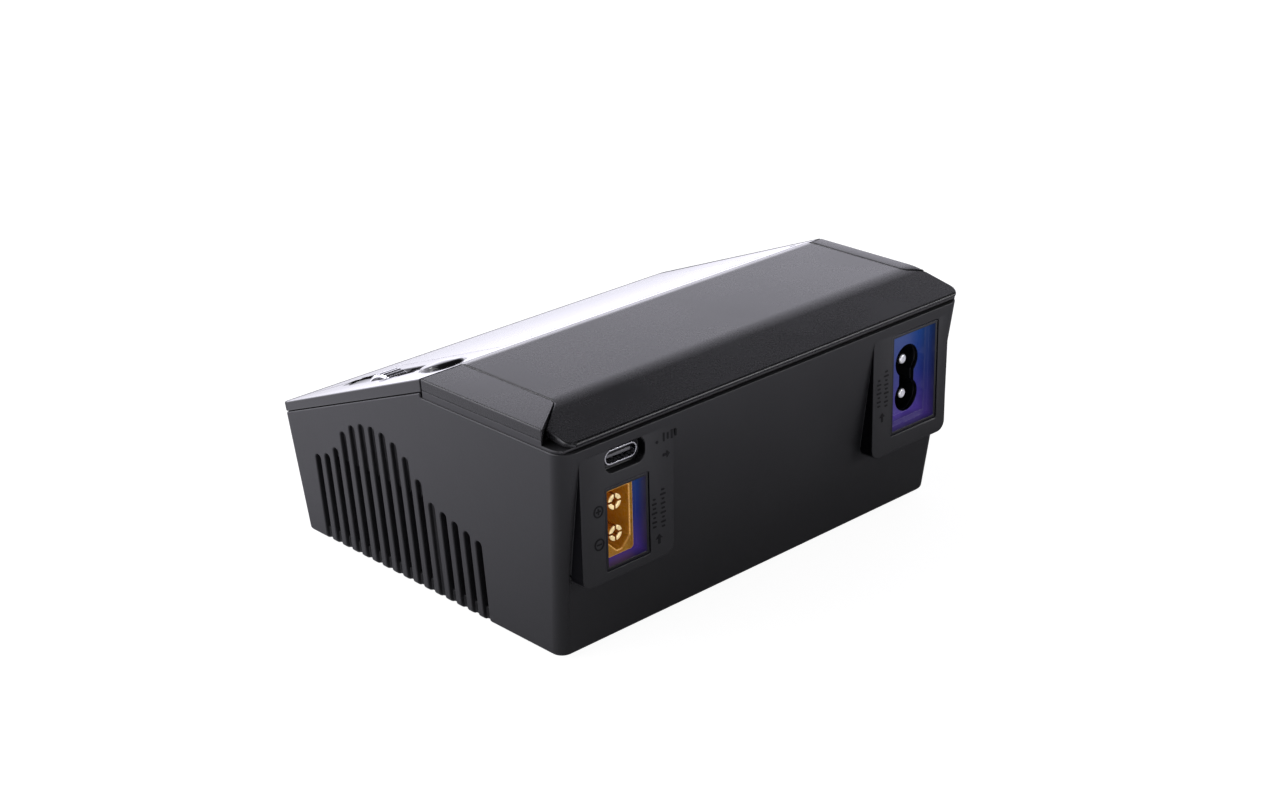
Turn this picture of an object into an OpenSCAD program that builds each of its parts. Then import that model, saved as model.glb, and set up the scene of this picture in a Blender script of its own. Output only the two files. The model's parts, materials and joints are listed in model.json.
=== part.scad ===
// Balance battery charger for hobby lithium packs, with mains and DC inlets.
// Z is up. The charging sockets face -Y, the inlets face +Y and the fan grille faces +X.
// The origin is on the surface the feet stand on, under the centre of the case.
// Heights called h are measured from the underside of the case, above the feet.

/* [Case] */
// Width of the case at its underside
case_w = 117.7; // [116:0.1:119]
// Depth over everything, from the front lip to the rear rim
case_d = 99.3; // [98.6:0.1:100]
// Height of the flat top above the underside
top_h = 53.8; // [53.5:0.1:54.5]
// Height of the tub's rear rim
rim_h = 49.2; // [48.8:0.1:49.4]
// Height of the front lip of the sloping panel
lip_h = 32.1; // [31.6:0.1:32.8]
// Distance of the ridge behind the centre of the case
ridge_y = 4.7; // [4:0.1:5.5]
// Lean of the side walls, degrees
side_lean = 3.8; // [3.4:0.1:4]
// Lean of the rear wall, degrees
rear_lean = 7.5; // [7.2:0.1:7.7]
// Lean of the front wall, degrees
front_lean = 5.7; // [5.2:0.1:6]
// Thickness of the moulded walls
wall = 2.2; // [2:0.1:2.4]
// Height of the feet below the case
foot_h = 1; // [0.8:0.1:1.2]

/* [Top shells] */
// Height of the seam under the panel, at the front
seam_front_h = 29.5; // [29.3:0.1:29.7]
// Height of the seam under the panel, at the ridge
seam_ridge_h = 50.6; // [50.4:0.1:50.7]
// Height of the underside of the end caps' skirts
cap_skirt_h = 51.1; // [51:0.1:51.3]
// Where the wide end cap meets the rear cover, from the centre
right_cap_x = 50.8; // [50.4:0.1:51.2]
// Where the narrow end cap meets the rear cover, from the centre
left_cap_x = 58.3; // [58:0.1:58.6]
// Where the cover starts to bend down to its rear lip
bend_y = 35; // [34:0.1:36]

/* [Controls] */
// Centre of the wheel and the button across the panel
control_x = 47; // [46.8:0.1:47.2]
// Distance of the scroll wheel up the slope from the lip
wheel_v = 24.4; // [24.2:0.1:24.6]
// Diameter of the scroll wheel
wheel_d = 14; // [13.8:0.1:14.2]
// Width of the scroll wheel
wheel_w = 6; // [5.8:0.1:6.2]
// Distance of the round button up the slope from the lip
button_v = 46.4; // [46:0.1:46.6]
// Diameter of the round button
button_d = 10.6; // [10:0.1:10.8]

/* [Cooling] */
// Side of the square fan frame
fan_size = 35; // [34.8:0.1:35]
// Number of fan blades
fan_blades = 7; // [5:1:9]
// Pitch of the grille slots
slot_pitch = 3.8; // [3.7:0.1:3.9]
// Number of slots in the fan grille
slot_count = 16; // [14:1:16]

/* [Connectors] */
// Centre of the DC inlet across the rear
dc_x = 44.6; // [44.4:0.1:44.8]
// Centre of the mains inlet across the rear
ac_x = -48.2; // [-48.4:0.1:-48]
// Cells the balance socket serves
cells = 6; // [2:1:6]

/* [Hidden] */
$fn = 48;

// Case shape
corner_bottom_r = 3;
corner_top_r = 4;
bottom_edge = 0.7;
slice_t = 0.01;
seam_gap = 0.15;
front_corner_r = 1.7;
rear_edge = 49;
front_edge = rear_edge - case_d;
panel_slope = atan((top_h - lip_h) / (ridge_y - front_edge));
rear_y0 = rear_edge - rim_h * tan(rear_lean);
front_y0 = front_edge + lip_h * tan(front_lean);
plate_t = 2;
cover_t = 2;
lip_top_h = 51;
lip_y = rear_edge - 0.3;
lip_r = 0.55;
lip_bottom_h = lip_top_h - 0.4 - lip_r;
frame_top_h = lip_bottom_h - 0.1;
bend_r = 26;
ridge_r = 7;
cover_roll = 2;
cover_end_inset = 2.7;

// Screw posts
post_x = 50;
post_front_y = -38;
post_rear_y = 34.2;
post_r = 3.6;
post_rib_t = 2;
post_rib_x = case_w / 2 - wall / 2;
post_bottom_h = 3.6;
post_top_h = 13;
screw_r = 1.4;
screw_head_r = 2.6;
screw_head_t = 1.6;
screw_sink = 0.4;
thread_gap = 0.05;

// Feet
foot_r = 5;
foot_x = 47;
foot_front_y = -28;
foot_rear_y = 19;
foot_pocket = 0.8;

// Controls, measured along the slope (v) and out of it (w)
panel_t = 2.5;
wheel_proud = 1;
wheel_centre_w = wheel_proud - wheel_d / 2;
trough_w = 11.6;
trough_l = 25;
trough_depth = 2;
trough_boss_w = -4.2;
axle_r = 1;
axle_gap = 0.04;
yoke_top_w = -4.5;
yoke_bottom_w = -8;
board_t = 1.6;
control_board_w = -10.6;
window_x0 = -49;
window_x1 = 34;
window_v0 = 7.4;
window_v1 = 52.4;
window_t = 1.2;
lens_x = -57.4;
lens_v = 53.9;

// Fan
fan_t = 10;
fan_y = -11;
fan_h = 19.8;
fan_x = 29.5;
fan_bore_r = fan_size / 2 - 1;
fan_hub_r = 8;
fan_hole_pitch = fan_size - 6;
fan_shaft_r = 0.75;
vent_y = -15.3;
vent_h = 18.9;
vent_r = 17.4;
vent_through_h = 24.1;
slot_w = 2;
slot_depth = 1.1;
slot_y0 = -38.6;
blind_slot = 11;
shoulder_h = 23.8;

// Rear pads and their recesses
pad_y = rear_edge - 0.3;
pad_top_h = 48.2;
pad_bottom_h = 17.6;
pad_w = 26;
pad_outer_x = 57.5;
pad_r = 2.5;
recess_floor_y = 44.5;
liner_t = 0.7;
liner_gap = 0.05;
liner_mouth_y = pad_y - 0.25;
dc_floor_y = 45.7;
dc_h = 29.1;
dc_recess_w = 10.8;
dc_recess_h = 17.1;
xt_x = dc_x - 0.1;
xt_h = 28.8;
xt_w = 8.1;
xt_l = 16;
xt_pitch = 7.2;
xt_pin_r = 1.75;
usb_x = 44.9;
usb_h = 44.2;
usb_w = 8.94;
usb_t = 3.26;
usb_mouth_y = 47.4;
usb_floor_y = 46.6;
dc_hollow_top_h = 40.4;
ac_hollow_top_h = 46.2;
ac_h = 34;
ac_recess_w = 14.5;
ac_recess_h = 22.9;
ac_recess_x = -46.15;
ac_pin_h = 32.3;
ac_pitch = 8.6;
ac_lobe_r = 3.95;
ac_pin_r = 1.2;
ac_pin_root_r = ac_pin_r + 0.3;
ac_face_y = recess_floor_y - 1.1;
ac_socket_bottom_y = 33;

// Front sockets
outlet_x = -27;
socket_h = 14.5;
socket_gap = 0.1;
outlet_face_y = front_y(socket_h) - 1.2;
contact_r = 2.3;
balance_face_y = front_y(socket_h) - 0.8;
balance_x = 9;
balance_pitch = 2.5;
balance_l = cells * balance_pitch + 4.9;
balance_t = 5.75;

// Main board
board_x0 = -52;
board_x1 = 26;
board_y0 = -27;
board_y1 = 26;
board_h = 7.2;
board_top = board_h + board_t;
standoff_r = 2.6;
standoff_inset = 4;

// Colours
case_grey = [0.24, 0.24, 0.26];
top_grey = [0.33, 0.33, 0.35];
gloss_black = [0.06, 0.06, 0.07];
rubber_black = [0.09, 0.09, 0.09];
fan_black = [0.05, 0.05, 0.05];
amber = [0.93, 0.62, 0.12];
gold = [0.85, 0.68, 0.32];
silver = [0.78, 0.78, 0.8];
board_green = [0.06, 0.3, 0.16];
glow_blue = [0.13, 0.2, 0.6];

// --- Case outline -----------------------------------------------------------

function side_x(h) = case_w / 2 + h * tan(side_lean);
function rear_y(h) = rear_y0 + h * tan(rear_lean);
function front_y(h) = front_y0 - h * tan(front_lean);
function corner_r(h) = corner_bottom_r + (corner_top_r - corner_bottom_r) * h / top_h;
function slope_h(y) = lip_h + (y - front_edge) * tan(panel_slope);
function seam_h(y) = seam_front_h
    + (y - front_edge) * (seam_ridge_h - seam_front_h) / (ridge_y - front_edge);

// Everything is drawn from the underside of the case, with its rear edge at rear_edge,
// and then centred from front to rear and set on its feet.
module raised() {
    translate([0, -(rear_edge + front_edge) / 2, foot_h]) children();
}

// Four corner discs of the leaning case at one height.
module case_slice(h, inset) {
    rear_r = max(corner_r(h) - inset, 0.8);
    front_r = max(front_corner_r - inset, 0.8);
    for (side = [-1, 1]) {
        translate([side * (side_x(h) - inset - rear_r), rear_y(h) - inset - rear_r, h])
            cylinder(r = rear_r, h = slice_t, $fn = 32);
        translate([side * (side_x(h) - inset - front_r), front_y(h) + inset + front_r, h])
            cylinder(r = front_r, h = slice_t, $fn = 32);
    }
}

// The leaning case as a solid, with its walls moved in by inset.
module case_block(inset, bottom, top, edge = 0) {
    hull() {
        case_slice(bottom, inset + edge);
        case_slice(bottom + edge, inset);
        case_slice(top - slice_t, inset);
    }
}

// A (y, h) outline drawn out along X.
module along_x(x0, x1) {
    translate([x0, 0, 0]) rotate([90, 0, 90]) linear_extrude(x1 - x0) children();
}

// A (x, h) outline drawn out along Y.
module along_y(y0, y1) {
    translate([0, y1, 0]) rotate([90, 0, 0]) linear_extrude(y1 - y0) children();
}

module box(from, to) {
    translate(from) cube(to - from);
}

module rounded_square(x0, y0, x1, y1, r) {
    translate([x0 + r, y0]) square([x1 - x0 - 2 * r, y1 - y0]);
    translate([x0, y0 + r]) square([x1 - x0, y1 - y0 - 2 * r]);
    for (x = [x0 + r, x1 - r], y = [y0 + r, y1 - r]) translate([x, y]) circle(r);
}

// Points on an arc of radius r about (y, h), from angle a0 to a1.
function arc(y, h, r, a0, a1, steps = 10) =
    [for (i = [0:steps]) let (a = a0 + (a1 - a0) * i / steps) [y + r * cos(a), h + r * sin(a)]];

// Children in the sloping panel's own frame: X across, Y up the slope, Z out of it.
module on_slope(x = 0, v = 0, w = 0) {
    translate([0, front_edge, lip_h])
        rotate([panel_slope, 0, 0])
            translate([x, v, w]) children();
}

// --- Tub --------------------------------------------------------------------

module tub_outline() {
    polygon([
        [-case_d, -1],
        [-case_d, seam_h(-case_d)],
        [ridge_y - 0.6, seam_h(ridge_y - 0.6)],
        [ridge_y - 0.6, rim_h],
        [case_d, rim_h],
        [case_d, -1],
    ]);
}

// One slot with a round top, cut to a depth into a wall that faces +X.
module wall_slot(y, bottom, top, depth) {
    translate([case_w / 2, 0, 0])
        rotate([0, side_lean, 0]) {
            box([-depth, y - slot_w / 2, bottom], [1, y + slot_w / 2, top - slot_w / 2]);
            translate([-depth, y, top - slot_w / 2])
                rotate([0, 90, 0]) cylinder(d = slot_w, h = depth + 1);
        }
}

// The slots rise over the fan in an arc and run level or fall away beside it.
function slot_y(i) = slot_y0 + i * slot_pitch;
function shoulder(i) = slot_y(i) < vent_y
    ? shoulder_h - 1.4 + 1.3 * i
    : shoulder_h - max(0, i - blind_slot);
function slot_top(i) =
    let (reach = pow(vent_r, 2) - pow(slot_y(i) - vent_y, 2))
    max(shoulder(i), reach > 0 ? vent_h + sqrt(reach) : 0);

module fan_grille() {
    for (i = [0:slot_count - 1]) {
        wall_slot(slot_y(i), -1, slot_top(i), slot_depth);
        if (i != blind_slot) {
            wall_slot(slot_y(i), plate_t + 1, min(slot_top(i), vent_through_h), 2 * wall);
        }
    }
}

// The plain vent on the far side lets the air out again.
module exhaust_vent() {
    exhaust_count = 13;
    for (i = [0:exhaust_count - 1]) {
        mirror([1, 0, 0]) {
            wall_slot(slot_y(i + 2), plate_t + 1, vent_through_h, 2 * wall);
        }
    }
}

// A pad that stands upright where the rear wall leans away, and runs out into it at the top.
module rear_pad(x0, x1) {
    along_y(rear_y(0) - wall, pad_y) {
        rounded_square(x0, pad_bottom_h, x1, pad_top_h - pad_r, pad_r);
        translate([x0, pad_bottom_h + pad_r]) square([x1 - x0, pad_top_h - pad_bottom_h - pad_r]);
    }
}

module pad_hollow(x0, x1, top) {
    box([x0 + wall, rear_y(0) - 12, pad_bottom_h + wall], [x1 - wall, pad_y - wall, top]);
}

module at_posts() {
    for (x = [-post_x, post_x], y = [post_front_y, post_rear_y]) translate([x, y, 0]) children();
}

module dc_window(gap = 0) {
    half_w = dc_recess_w / 2 + liner_t + gap;
    half_h = dc_recess_h / 2 + liner_t + gap;
    box([dc_x - half_w, dc_floor_y - 4, dc_h - half_h], [dc_x + half_w, case_d, dc_h + half_h]);
}

module ac_window(gap = 0) {
    half_w = ac_recess_w / 2 + liner_t + gap;
    half_h = ac_recess_h / 2 + liner_t + gap;
    box([ac_recess_x - half_w, recess_floor_y - 4, ac_h - half_h],
        [ac_recess_x + half_w, case_d, ac_h + half_h]);
}

module usb_window() {
    usb_window_w = 11;
    usb_window_h = 5.4;
    along_y(usb_floor_y, case_d)
        rounded_square(usb_x - usb_window_w / 2, usb_h - usb_window_h / 2,
            usb_x + usb_window_w / 2, usb_h + usb_window_h / 2, 2.2);
    along_y(usb_floor_y - 6, case_d) translate([usb_x, usb_h]) stadium(usb_w + 0.2, usb_t + 0.2);
}

module front_openings() {
    along_y(-case_d, front_y0 + 2 * wall) {
        translate([outlet_x, socket_h]) rotate(90) xt_outline(socket_gap);
        rounded_square(balance_x - balance_l / 2 - socket_gap, socket_h - balance_t / 2 - socket_gap,
            balance_x + balance_l / 2 + socket_gap, socket_h + balance_t / 2 + socket_gap, 0.4);
    }
}

module tub() {
    color(case_grey) raised() difference() {
        union() {
            difference() {
                union() {
                    intersection() {
                        case_block(0, 0, top_h, bottom_edge);
                        along_x(-case_w, case_w) tub_outline();
                    }
                    rear_pad(pad_outer_x - pad_w, pad_outer_x);
                    rear_pad(-pad_outer_x, -pad_outer_x + pad_w);
                }
                case_block(wall, -1, top_h + 1);
                pad_hollow(pad_outer_x - pad_w, pad_outer_x, dc_hollow_top_h);
                pad_hollow(-pad_outer_x, -pad_outer_x + pad_w, ac_hollow_top_h);
            }
            // The screw posts stand off the side walls on ribs.
            intersection() {
                case_block(wall / 2, 0, rim_h);
                at_posts() {
                    translate([0, 0, post_bottom_h]) cylinder(r = post_r, h = post_top_h - post_bottom_h);
                }
            }
            for (side = [-1, 1], y = [post_front_y, post_rear_y]) {
                box([min(side * post_x, side * post_rib_x), y - post_rib_t / 2, post_bottom_h],
                    [max(side * post_x, side * post_rib_x), y + post_rib_t / 2, post_top_h]);
            }
        }
        at_posts() cylinder(r = screw_r + thread_gap, h = post_top_h - 1);
        fan_grille();
        exhaust_vent();
        dc_window(liner_gap);
        ac_window(liner_gap);
        usb_window();
        front_openings();
    }
}

// --- Base plate, feet and case screws ---------------------------------------

module base_vents() {
    for (i = [0:9]) {
        translate([-30 + i * 5, 0, -1]) linear_extrude(plate_t + 2) rounded_square(-1, -12, 1, 12, 0.95);
    }
}

module at_feet() {
    for (x = [-foot_x, foot_x], y = [foot_front_y, foot_rear_y]) translate([x, y, 0]) children();
}

module base_plate() {
    color(case_grey) raised() difference() {
        union() {
            case_block(wall + 0.25, 0, plate_t);
            at_posts() cylinder(r = post_r - 0.5, h = post_bottom_h - 0.1);
        }
        at_posts() {
            translate([0, 0, -1]) cylinder(r = screw_r + 0.25, h = post_bottom_h + 2);
            translate([0, 0, -1]) cylinder(r = screw_head_r + 0.3, h = 1 + screw_sink + screw_head_t);
        }
        at_feet() translate([0, 0, -1]) cylinder(r = foot_r + 0.1, h = 1 + foot_pocket);
        base_vents();
    }
}

module rubber_feet() {
    color(rubber_black) raised() at_feet() rotate_extrude() polygon([
        [0, -foot_h],
        [foot_r - 0.8, -foot_h],
        [foot_r - 0.3, -foot_h / 2],
        [foot_r, 0],
        [foot_r, foot_pocket],
        [0, foot_pocket],
    ]);
}

// A pan-head screw standing on its head, with a cross recess.
module screw(shank_r, shank_l, head_r, head_t) {
    cross_w = head_r * 0.36;
    difference() {
        union() {
            cylinder(r = head_r, h = head_t);
            cylinder(r = shank_r, h = head_t + shank_l);
        }
        for (turn = [0, 90]) rotate(turn) {
            box([-head_r * 0.62, -cross_w / 2, -1], [head_r * 0.62, cross_w / 2, head_t * 0.55]);
        }
    }
}

module case_screws() {
    color(silver) raised() at_posts() translate([0, 0, screw_sink])
        screw(screw_r, 9, screw_head_r, screw_head_t);
}

// --- Upper frame, rear cover and end caps -----------------------------------

// A band that lies nearly flush with the side walls, set back under the cover's rear lip.
module upper_frame() {
    frame_inset = 0.15;
    frame_width = 7;
    rear_set_back = 1.1;
    rail_t = 1.5;
    rail_top = cap_skirt_h - 0.05;
    tongue_gap = 0.2;
    tongue_h = 3;
    color(case_grey) raised() {
        difference() {
            case_block(frame_inset, rim_h, rail_top);
            case_block(frame_width, rim_h - 1, top_h);
            box([-case_w, -case_d, 0], [case_w, ridge_y, top_h]);
            box([-case_w, rear_edge - rear_set_back, 0], [case_w, case_d, top_h]);
            // Only the rails under the end caps stand to the full height.
            difference() {
                box([-case_w, 0, frame_top_h], [case_w, case_d, top_h]);
                difference() {
                    linear_extrude(top_h) {
                        cap_plan(right_cap_x, 2 * seam_gap);
                        mirror([1, 0]) cap_plan(left_cap_x, 2 * seam_gap);
                    }
                    case_block(frame_inset + rail_t, rim_h, top_h);
                }
            }
        }
        // A tongue that drops inside the tub's rim.
        intersection() {
            difference() {
                case_block(wall + tongue_gap, rim_h - tongue_h, rim_h);
                case_block(wall + tongue_gap + 1.6, rim_h - tongue_h - 1, rim_h + 1);
            }
            box([-case_w, ridge_y, 0], [case_w, case_d, rim_h]);
        }
        // A bar across, behind the sloping panel.
        box([-side_x(rim_h) + 3.4, ridge_y, rim_h - tongue_h],
            [side_x(rim_h) - 3.4, ridge_y + 3, frame_top_h]);
    }
}

// Side view of the cover and caps: rolled over the ridge, flat, then bent down to the lip.
function bevel_angle() = atan((top_h - lip_top_h) / (lip_y - bend_y));
function top_curve() = concat(
    arc(ridge_y + ridge_r * tan(panel_slope / 2), top_h - ridge_r, ridge_r, 90 + panel_slope, 90),
    arc(bend_y - bend_r * tan(bevel_angle() / 2), top_h - bend_r, bend_r, 90, 90 - bevel_angle()),
    arc(lip_y - lip_r, lip_bottom_h + lip_r, lip_r, 80, -90, 8)
);

module cover_profile() {
    front_y = ridge_y - cover_roll;
    polygon(concat(
        [[front_y, slope_h(front_y) - 1.6], [front_y, slope_h(front_y) - 0.02]],
        top_curve(),
        [
            [lip_y - 2, lip_bottom_h],
            [bend_y - 1, top_h - cover_t - 0.4],
            [ridge_y + 3, top_h - cover_t],
        ]
    ));
}

// Plan of an end cap: a straight inner seam, then a slanting rear end out to the side.
module cap_plan(inner_x, gap, front = ridge_y) {
    corner_y = bend_y - 1.4;
    polygon([
        [inner_x + gap, front],
        [inner_x + gap, corner_y - gap],
        [inner_x + gap + 0.5, corner_y + 1.2 - gap],
        [inner_x + gap + 1.5, corner_y + 2.1 - gap],
        [side_x(top_h) + 3, corner_y + 2.1 + (side_x(top_h) + 1.5 - inner_x) * 0.8 - 2 * gap],
        [side_x(top_h) + 3, front],
    ]);
}

module cap_profile() {
    polygon(concat(
        [[ridge_y + seam_gap, cap_skirt_h], [ridge_y + seam_gap, top_h]],
        arc(bend_y - bend_r * tan(bevel_angle() / 2), top_h - bend_r, bend_r, 90, 90 - bevel_angle()),
        [[rear_edge, lip_top_h], [rear_edge, cap_skirt_h]]
    ));
}

// The wide cap keeps its flat top right to its slanting end.
module wide_cap_profile() {
    polygon([
        [ridge_y + seam_gap, cap_skirt_h],
        [ridge_y + seam_gap, top_h],
        [rear_edge, top_h],
        [rear_edge, cap_skirt_h],
    ]);
}

module cap_shell(inner_x) {
    difference() {
        intersection() {
            case_block(0, rim_h, top_h);
            linear_extrude(top_h) cap_plan(inner_x, seam_gap);
            children();
        }
        translate([0, 0, -cover_t]) case_block(1.6, rim_h, top_h);
    }
}

module right_cap() {
    color(top_grey) raised() cap_shell(right_cap_x) along_x(0, case_w) wide_cap_profile();
}

module left_cap() {
    color(top_grey) raised() mirror([1, 0, 0]) cap_shell(left_cap_x) along_x(0, case_w) cap_profile();
}

module rear_cover() {
    rib_inset = 5.4;
    cut_front = ridge_y - 2 * cover_roll;
    color(top_grey) raised() difference() {
        union() {
            intersection() {
                case_block(0.05, rim_h, top_h);
                along_x(-case_w, case_w) cover_profile();
                linear_extrude(case_w)
                    rounded_square(-case_w, -case_d, side_x(top_h) - cover_end_inset, lip_y, 2.4);
            }
            // Ribs under the cover stand on the frame.
            for (x = [-side_x(rim_h) + rib_inset, right_cap_x - 3]) {
                box([x, ridge_y + 6, frame_top_h + 0.05], [x + 1.6, bend_y - 4, top_h - cover_t + 0.2]);
            }
        }
        translate([0, 0, lip_bottom_h - 1]) linear_extrude(top_h) cap_plan(right_cap_x, 0, cut_front);
        mirror([1, 0, 0])
            translate([0, 0, lip_bottom_h - 1]) linear_extrude(top_h) cap_plan(left_cap_x, 0, cut_front);
    }
}

// --- Sloping front panel and display ----------------------------------------

module panel_outline() {
    polygon([
        [-case_d, seam_h(-case_d) + seam_gap],
        [-case_d, slope_h(-case_d)],
        [ridge_y, top_h],
        [ridge_y, seam_ridge_h + seam_gap],
    ]);
}

module panel_under() {
    polygon([
        [-case_d, -1],
        [-case_d, slope_h(-case_d) - panel_t / cos(panel_slope)],
        [ridge_y - wall, slope_h(ridge_y - wall) - panel_t / cos(panel_slope)],
        [ridge_y - wall, -1],
    ]);
}

// Plan of the scroll wheel's trough, with round ends.
module trough_plan() {
    for (end = [-1, 1]) translate([0, end * (trough_l - trough_w) / 2]) circle(d = trough_w);
    square([trough_w, trough_l - trough_w], center = true);
}

// The trough is a shallow scoop across the slope, deepest at the wheel.
module trough() {
    scoop_r = (pow(trough_l / 2, 2) + pow(trough_depth, 2)) / (2 * trough_depth);
    on_slope(control_x, wheel_v) intersection() {
        translate([0, 0, -trough_depth - 1]) linear_extrude(trough_depth + 3) trough_plan();
        translate([-trough_w, 0, scoop_r - trough_depth])
            rotate([0, 90, 0]) cylinder(r = scoop_r, h = 2 * trough_w, $fn = 96);
    }
}

module wheel_window() {
    window_l = wheel_d + 1;
    on_slope(control_x, wheel_v)
        box([-wheel_w / 2 - 0.5, -window_l / 2, -8], [wheel_w / 2 + 0.5, window_l / 2, 1]);
}

module display_pocket(gap, bottom, top) {
    on_slope(0, 0, bottom) linear_extrude(top - bottom)
        rounded_square(window_x0 - gap, window_v0 - gap, window_x1 + gap, window_v1 + gap, 2);
}

module front_panel() {
    sight_margin = 3;
    color(gloss_black) raised() difference() {
        union() {
            difference() {
                intersection() {
                    case_block(0, seam_front_h - 2, top_h + 1);
                    along_x(-case_w, case_w) panel_outline();
                }
                intersection() {
                    case_block(wall, -1, top_h + 1);
                    along_x(-case_w, case_w) panel_under();
                }
            }
            on_slope(control_x, wheel_v, trough_boss_w)
                box([-7.2, -15, 0], [7.2, 15, -trough_boss_w - panel_t + 0.1]);
        }
        // The cover rolls over the ridge between the two end caps.
        box([-left_cap_x, ridge_y - cover_roll - 0.1, 0], [right_cap_x, case_d, case_d]);
        trough();
        wheel_window();
        on_slope(control_x, button_v, -case_w / 2) cylinder(d = button_d + 0.4, h = case_w);
        display_pocket(0.1, -window_t - 0.1, 5);
        on_slope(0, 0, -10) linear_extrude(12)
            rounded_square(window_x0 + sight_margin, window_v0 + sight_margin,
                window_x1 - sight_margin, window_v1 - sight_margin, 1);
        on_slope(lens_x, lens_v, -10) cylinder(r = 0.8, h = 20);
    }
}

module display_window() {
    color(gloss_black) raised() display_pocket(0, -window_t, 0);
}

module display_module() {
    frame_v0 = 11.4;
    frame_v1 = 50.4;
    color(silver) raised() on_slope() difference() {
        box([-45, frame_v0, -6.4], [28.5, frame_v1, -2.7]);
        box([-42, frame_v0 + 3, -3.2], [25.5, frame_v1 - 3, -2]);
    }
}

module status_lens() {
    color("white") raised() on_slope(lens_x, lens_v) {
        translate([0, 0, -4]) cylinder(r = 0.75, h = 3.9);
        translate([0, 0, -5]) cylinder(r = 1.5, h = 2.2);
    }
}

// --- Scroll wheel and round button ------------------------------------------

module at_wheel() {
    raised() on_slope(control_x, wheel_v, wheel_centre_w) rotate([0, 90, 0]) children();
}

module scroll_wheel() {
    grooves = 36;
    groove_r = 0.45;
    groove_out = 0.28;
    rim_chamfer = 0.6;
    color(rubber_black) at_wheel() difference() {
        translate([0, 0, -wheel_w / 2]) rotate_extrude() polygon([
            [0, 0],
            [wheel_d / 2 - rim_chamfer, 0],
            [wheel_d / 2, rim_chamfer],
            [wheel_d / 2, wheel_w - rim_chamfer],
            [wheel_d / 2 - rim_chamfer, wheel_w],
            [0, wheel_w],
        ]);
        translate([0, 0, -wheel_w]) cylinder(r = axle_r, h = 2 * wheel_w);
        for (i = [0:grooves - 1]) rotate(i * 360 / grooves)
            translate([wheel_d / 2 + groove_out, 0, -wheel_w])
                cylinder(r = groove_r, h = 2 * wheel_w, $fn = 16);
    }
}

module wheel_axle() {
    color(silver) at_wheel() translate([0, 0, -5.2]) cylinder(r = axle_r, h = 10.4);
}

module wheel_yoke() {
    half_x = 5.5;
    half_v = 10.2;
    inner_x = 3.8;
    inner_v = 8.4;
    plunger_r = 0.9;
    color(fan_black) raised() difference() {
        on_slope(control_x, wheel_v) {
            difference() {
                box([-half_x, -half_v, yoke_bottom_w], [half_x, half_v, yoke_top_w]);
                box([-inner_x, -inner_v, yoke_bottom_w - 1], [inner_x, inner_v, yoke_top_w + 1]);
            }
            translate([0, half_v - 1, yoke_bottom_w - 1.4]) cylinder(r = plunger_r, h = 2);
        }
        on_slope(control_x, wheel_v, wheel_centre_w) translate([-half_x - 1, 0, 0])
            rotate([0, 90, 0]) cylinder(r = axle_r + axle_gap, h = 2 * half_x + 2);
    }
}

// A tactile switch body with a well for the plunger that presses it.
module switch_body(size, height, well_r) {
    difference() {
        translate([-size / 2, -size / 2, 0]) cube([size, size, height]);
        translate([0, 0, height - 1.6]) cylinder(r = well_r, h = 2);
    }
}

module wheel_switch() {
    color(silver) raised() on_slope(control_x, wheel_v + 9.2, control_board_w)
        switch_body(3.6, 2, 1.2);
}

module back_button() {
    half_d = button_d / 2;
    dome_r = 16;
    edge_r = 1;
    edge_w = -0.3;
    edge_angle = asin((half_d - edge_r) / (dome_r - edge_r));
    dome_centre_w = edge_w - (dome_r - edge_r) * cos(edge_angle);
    color(gloss_black) raised() on_slope(control_x, button_v) {
        rotate_extrude() polygon(concat(
            [[0, -4.4], [half_d + 1.1, -4.4], [half_d + 1.1, -3.2], [half_d, -3.2]],
            arc(half_d - edge_r, edge_w, edge_r, 0, 90 - edge_angle, 4),
            arc(0, dome_centre_w, dome_r, 90 - edge_angle + 2, 90, 5)
        ));
        translate([0, 0, -7.6]) cylinder(r = 1.5, h = 3.4);
    }
}

module button_switch() {
    color(silver) raised() on_slope(control_x, button_v, control_board_w)
        switch_body(6, 3.8, 1.8);
}

module control_board() {
    color(board_green) raised() on_slope(control_x, 0, control_board_w - board_t) difference() {
        box([-5.6, 10.9, 0], [8, 52.4, board_t]);
        box([-4.2, wheel_v - 8, -1], [4.2, wheel_v + 7.2, board_t + 1]);
    }
}

// --- Boards -----------------------------------------------------------------

module at_standoffs() {
    for (x = [board_x0 + standoff_inset, board_x1 - standoff_inset],
            y = [board_y0 + standoff_inset, board_y1 - standoff_inset])
        translate([x, y, 0]) children();
}

module main_board() {
    color(board_green) raised() difference() {
        box([board_x0, board_y0, board_h], [board_x1, board_y1, board_top]);
        at_standoffs() cylinder(r = 1.6, h = board_top + 1);
    }
}

module board_standoffs() {
    color(gold) raised() at_standoffs() difference() {
        translate([0, 0, plate_t]) cylinder(r = standoff_r, h = board_h - plate_t);
        translate([0, 0, plate_t + 1]) cylinder(r = 1.25, h = board_h);
    }
}

module board_screws() {
    color(silver) raised() at_standoffs()
        translate([0, 0, board_top + 1.4]) mirror([0, 0, 1]) screw(1.2, 4.4, 2.3, 1.4);
}

module inlet_board() {
    color(board_green) raised() difference() {
        box([32, 38.3, 15], [55, 39.9, 46]);
        along_y(37, 41) rounded_square(xt_x - 5, xt_h - 9, xt_x + 5, xt_h + 9, 1);
    }
}

// --- DC and USB inlets ------------------------------------------------------

module xt_shell(gap = 0) {
    rounded_square(-xt_w / 2 - gap, -xt_l / 2 - gap, xt_w / 2 + gap, xt_l / 2 + gap, 0.9);
}

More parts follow.
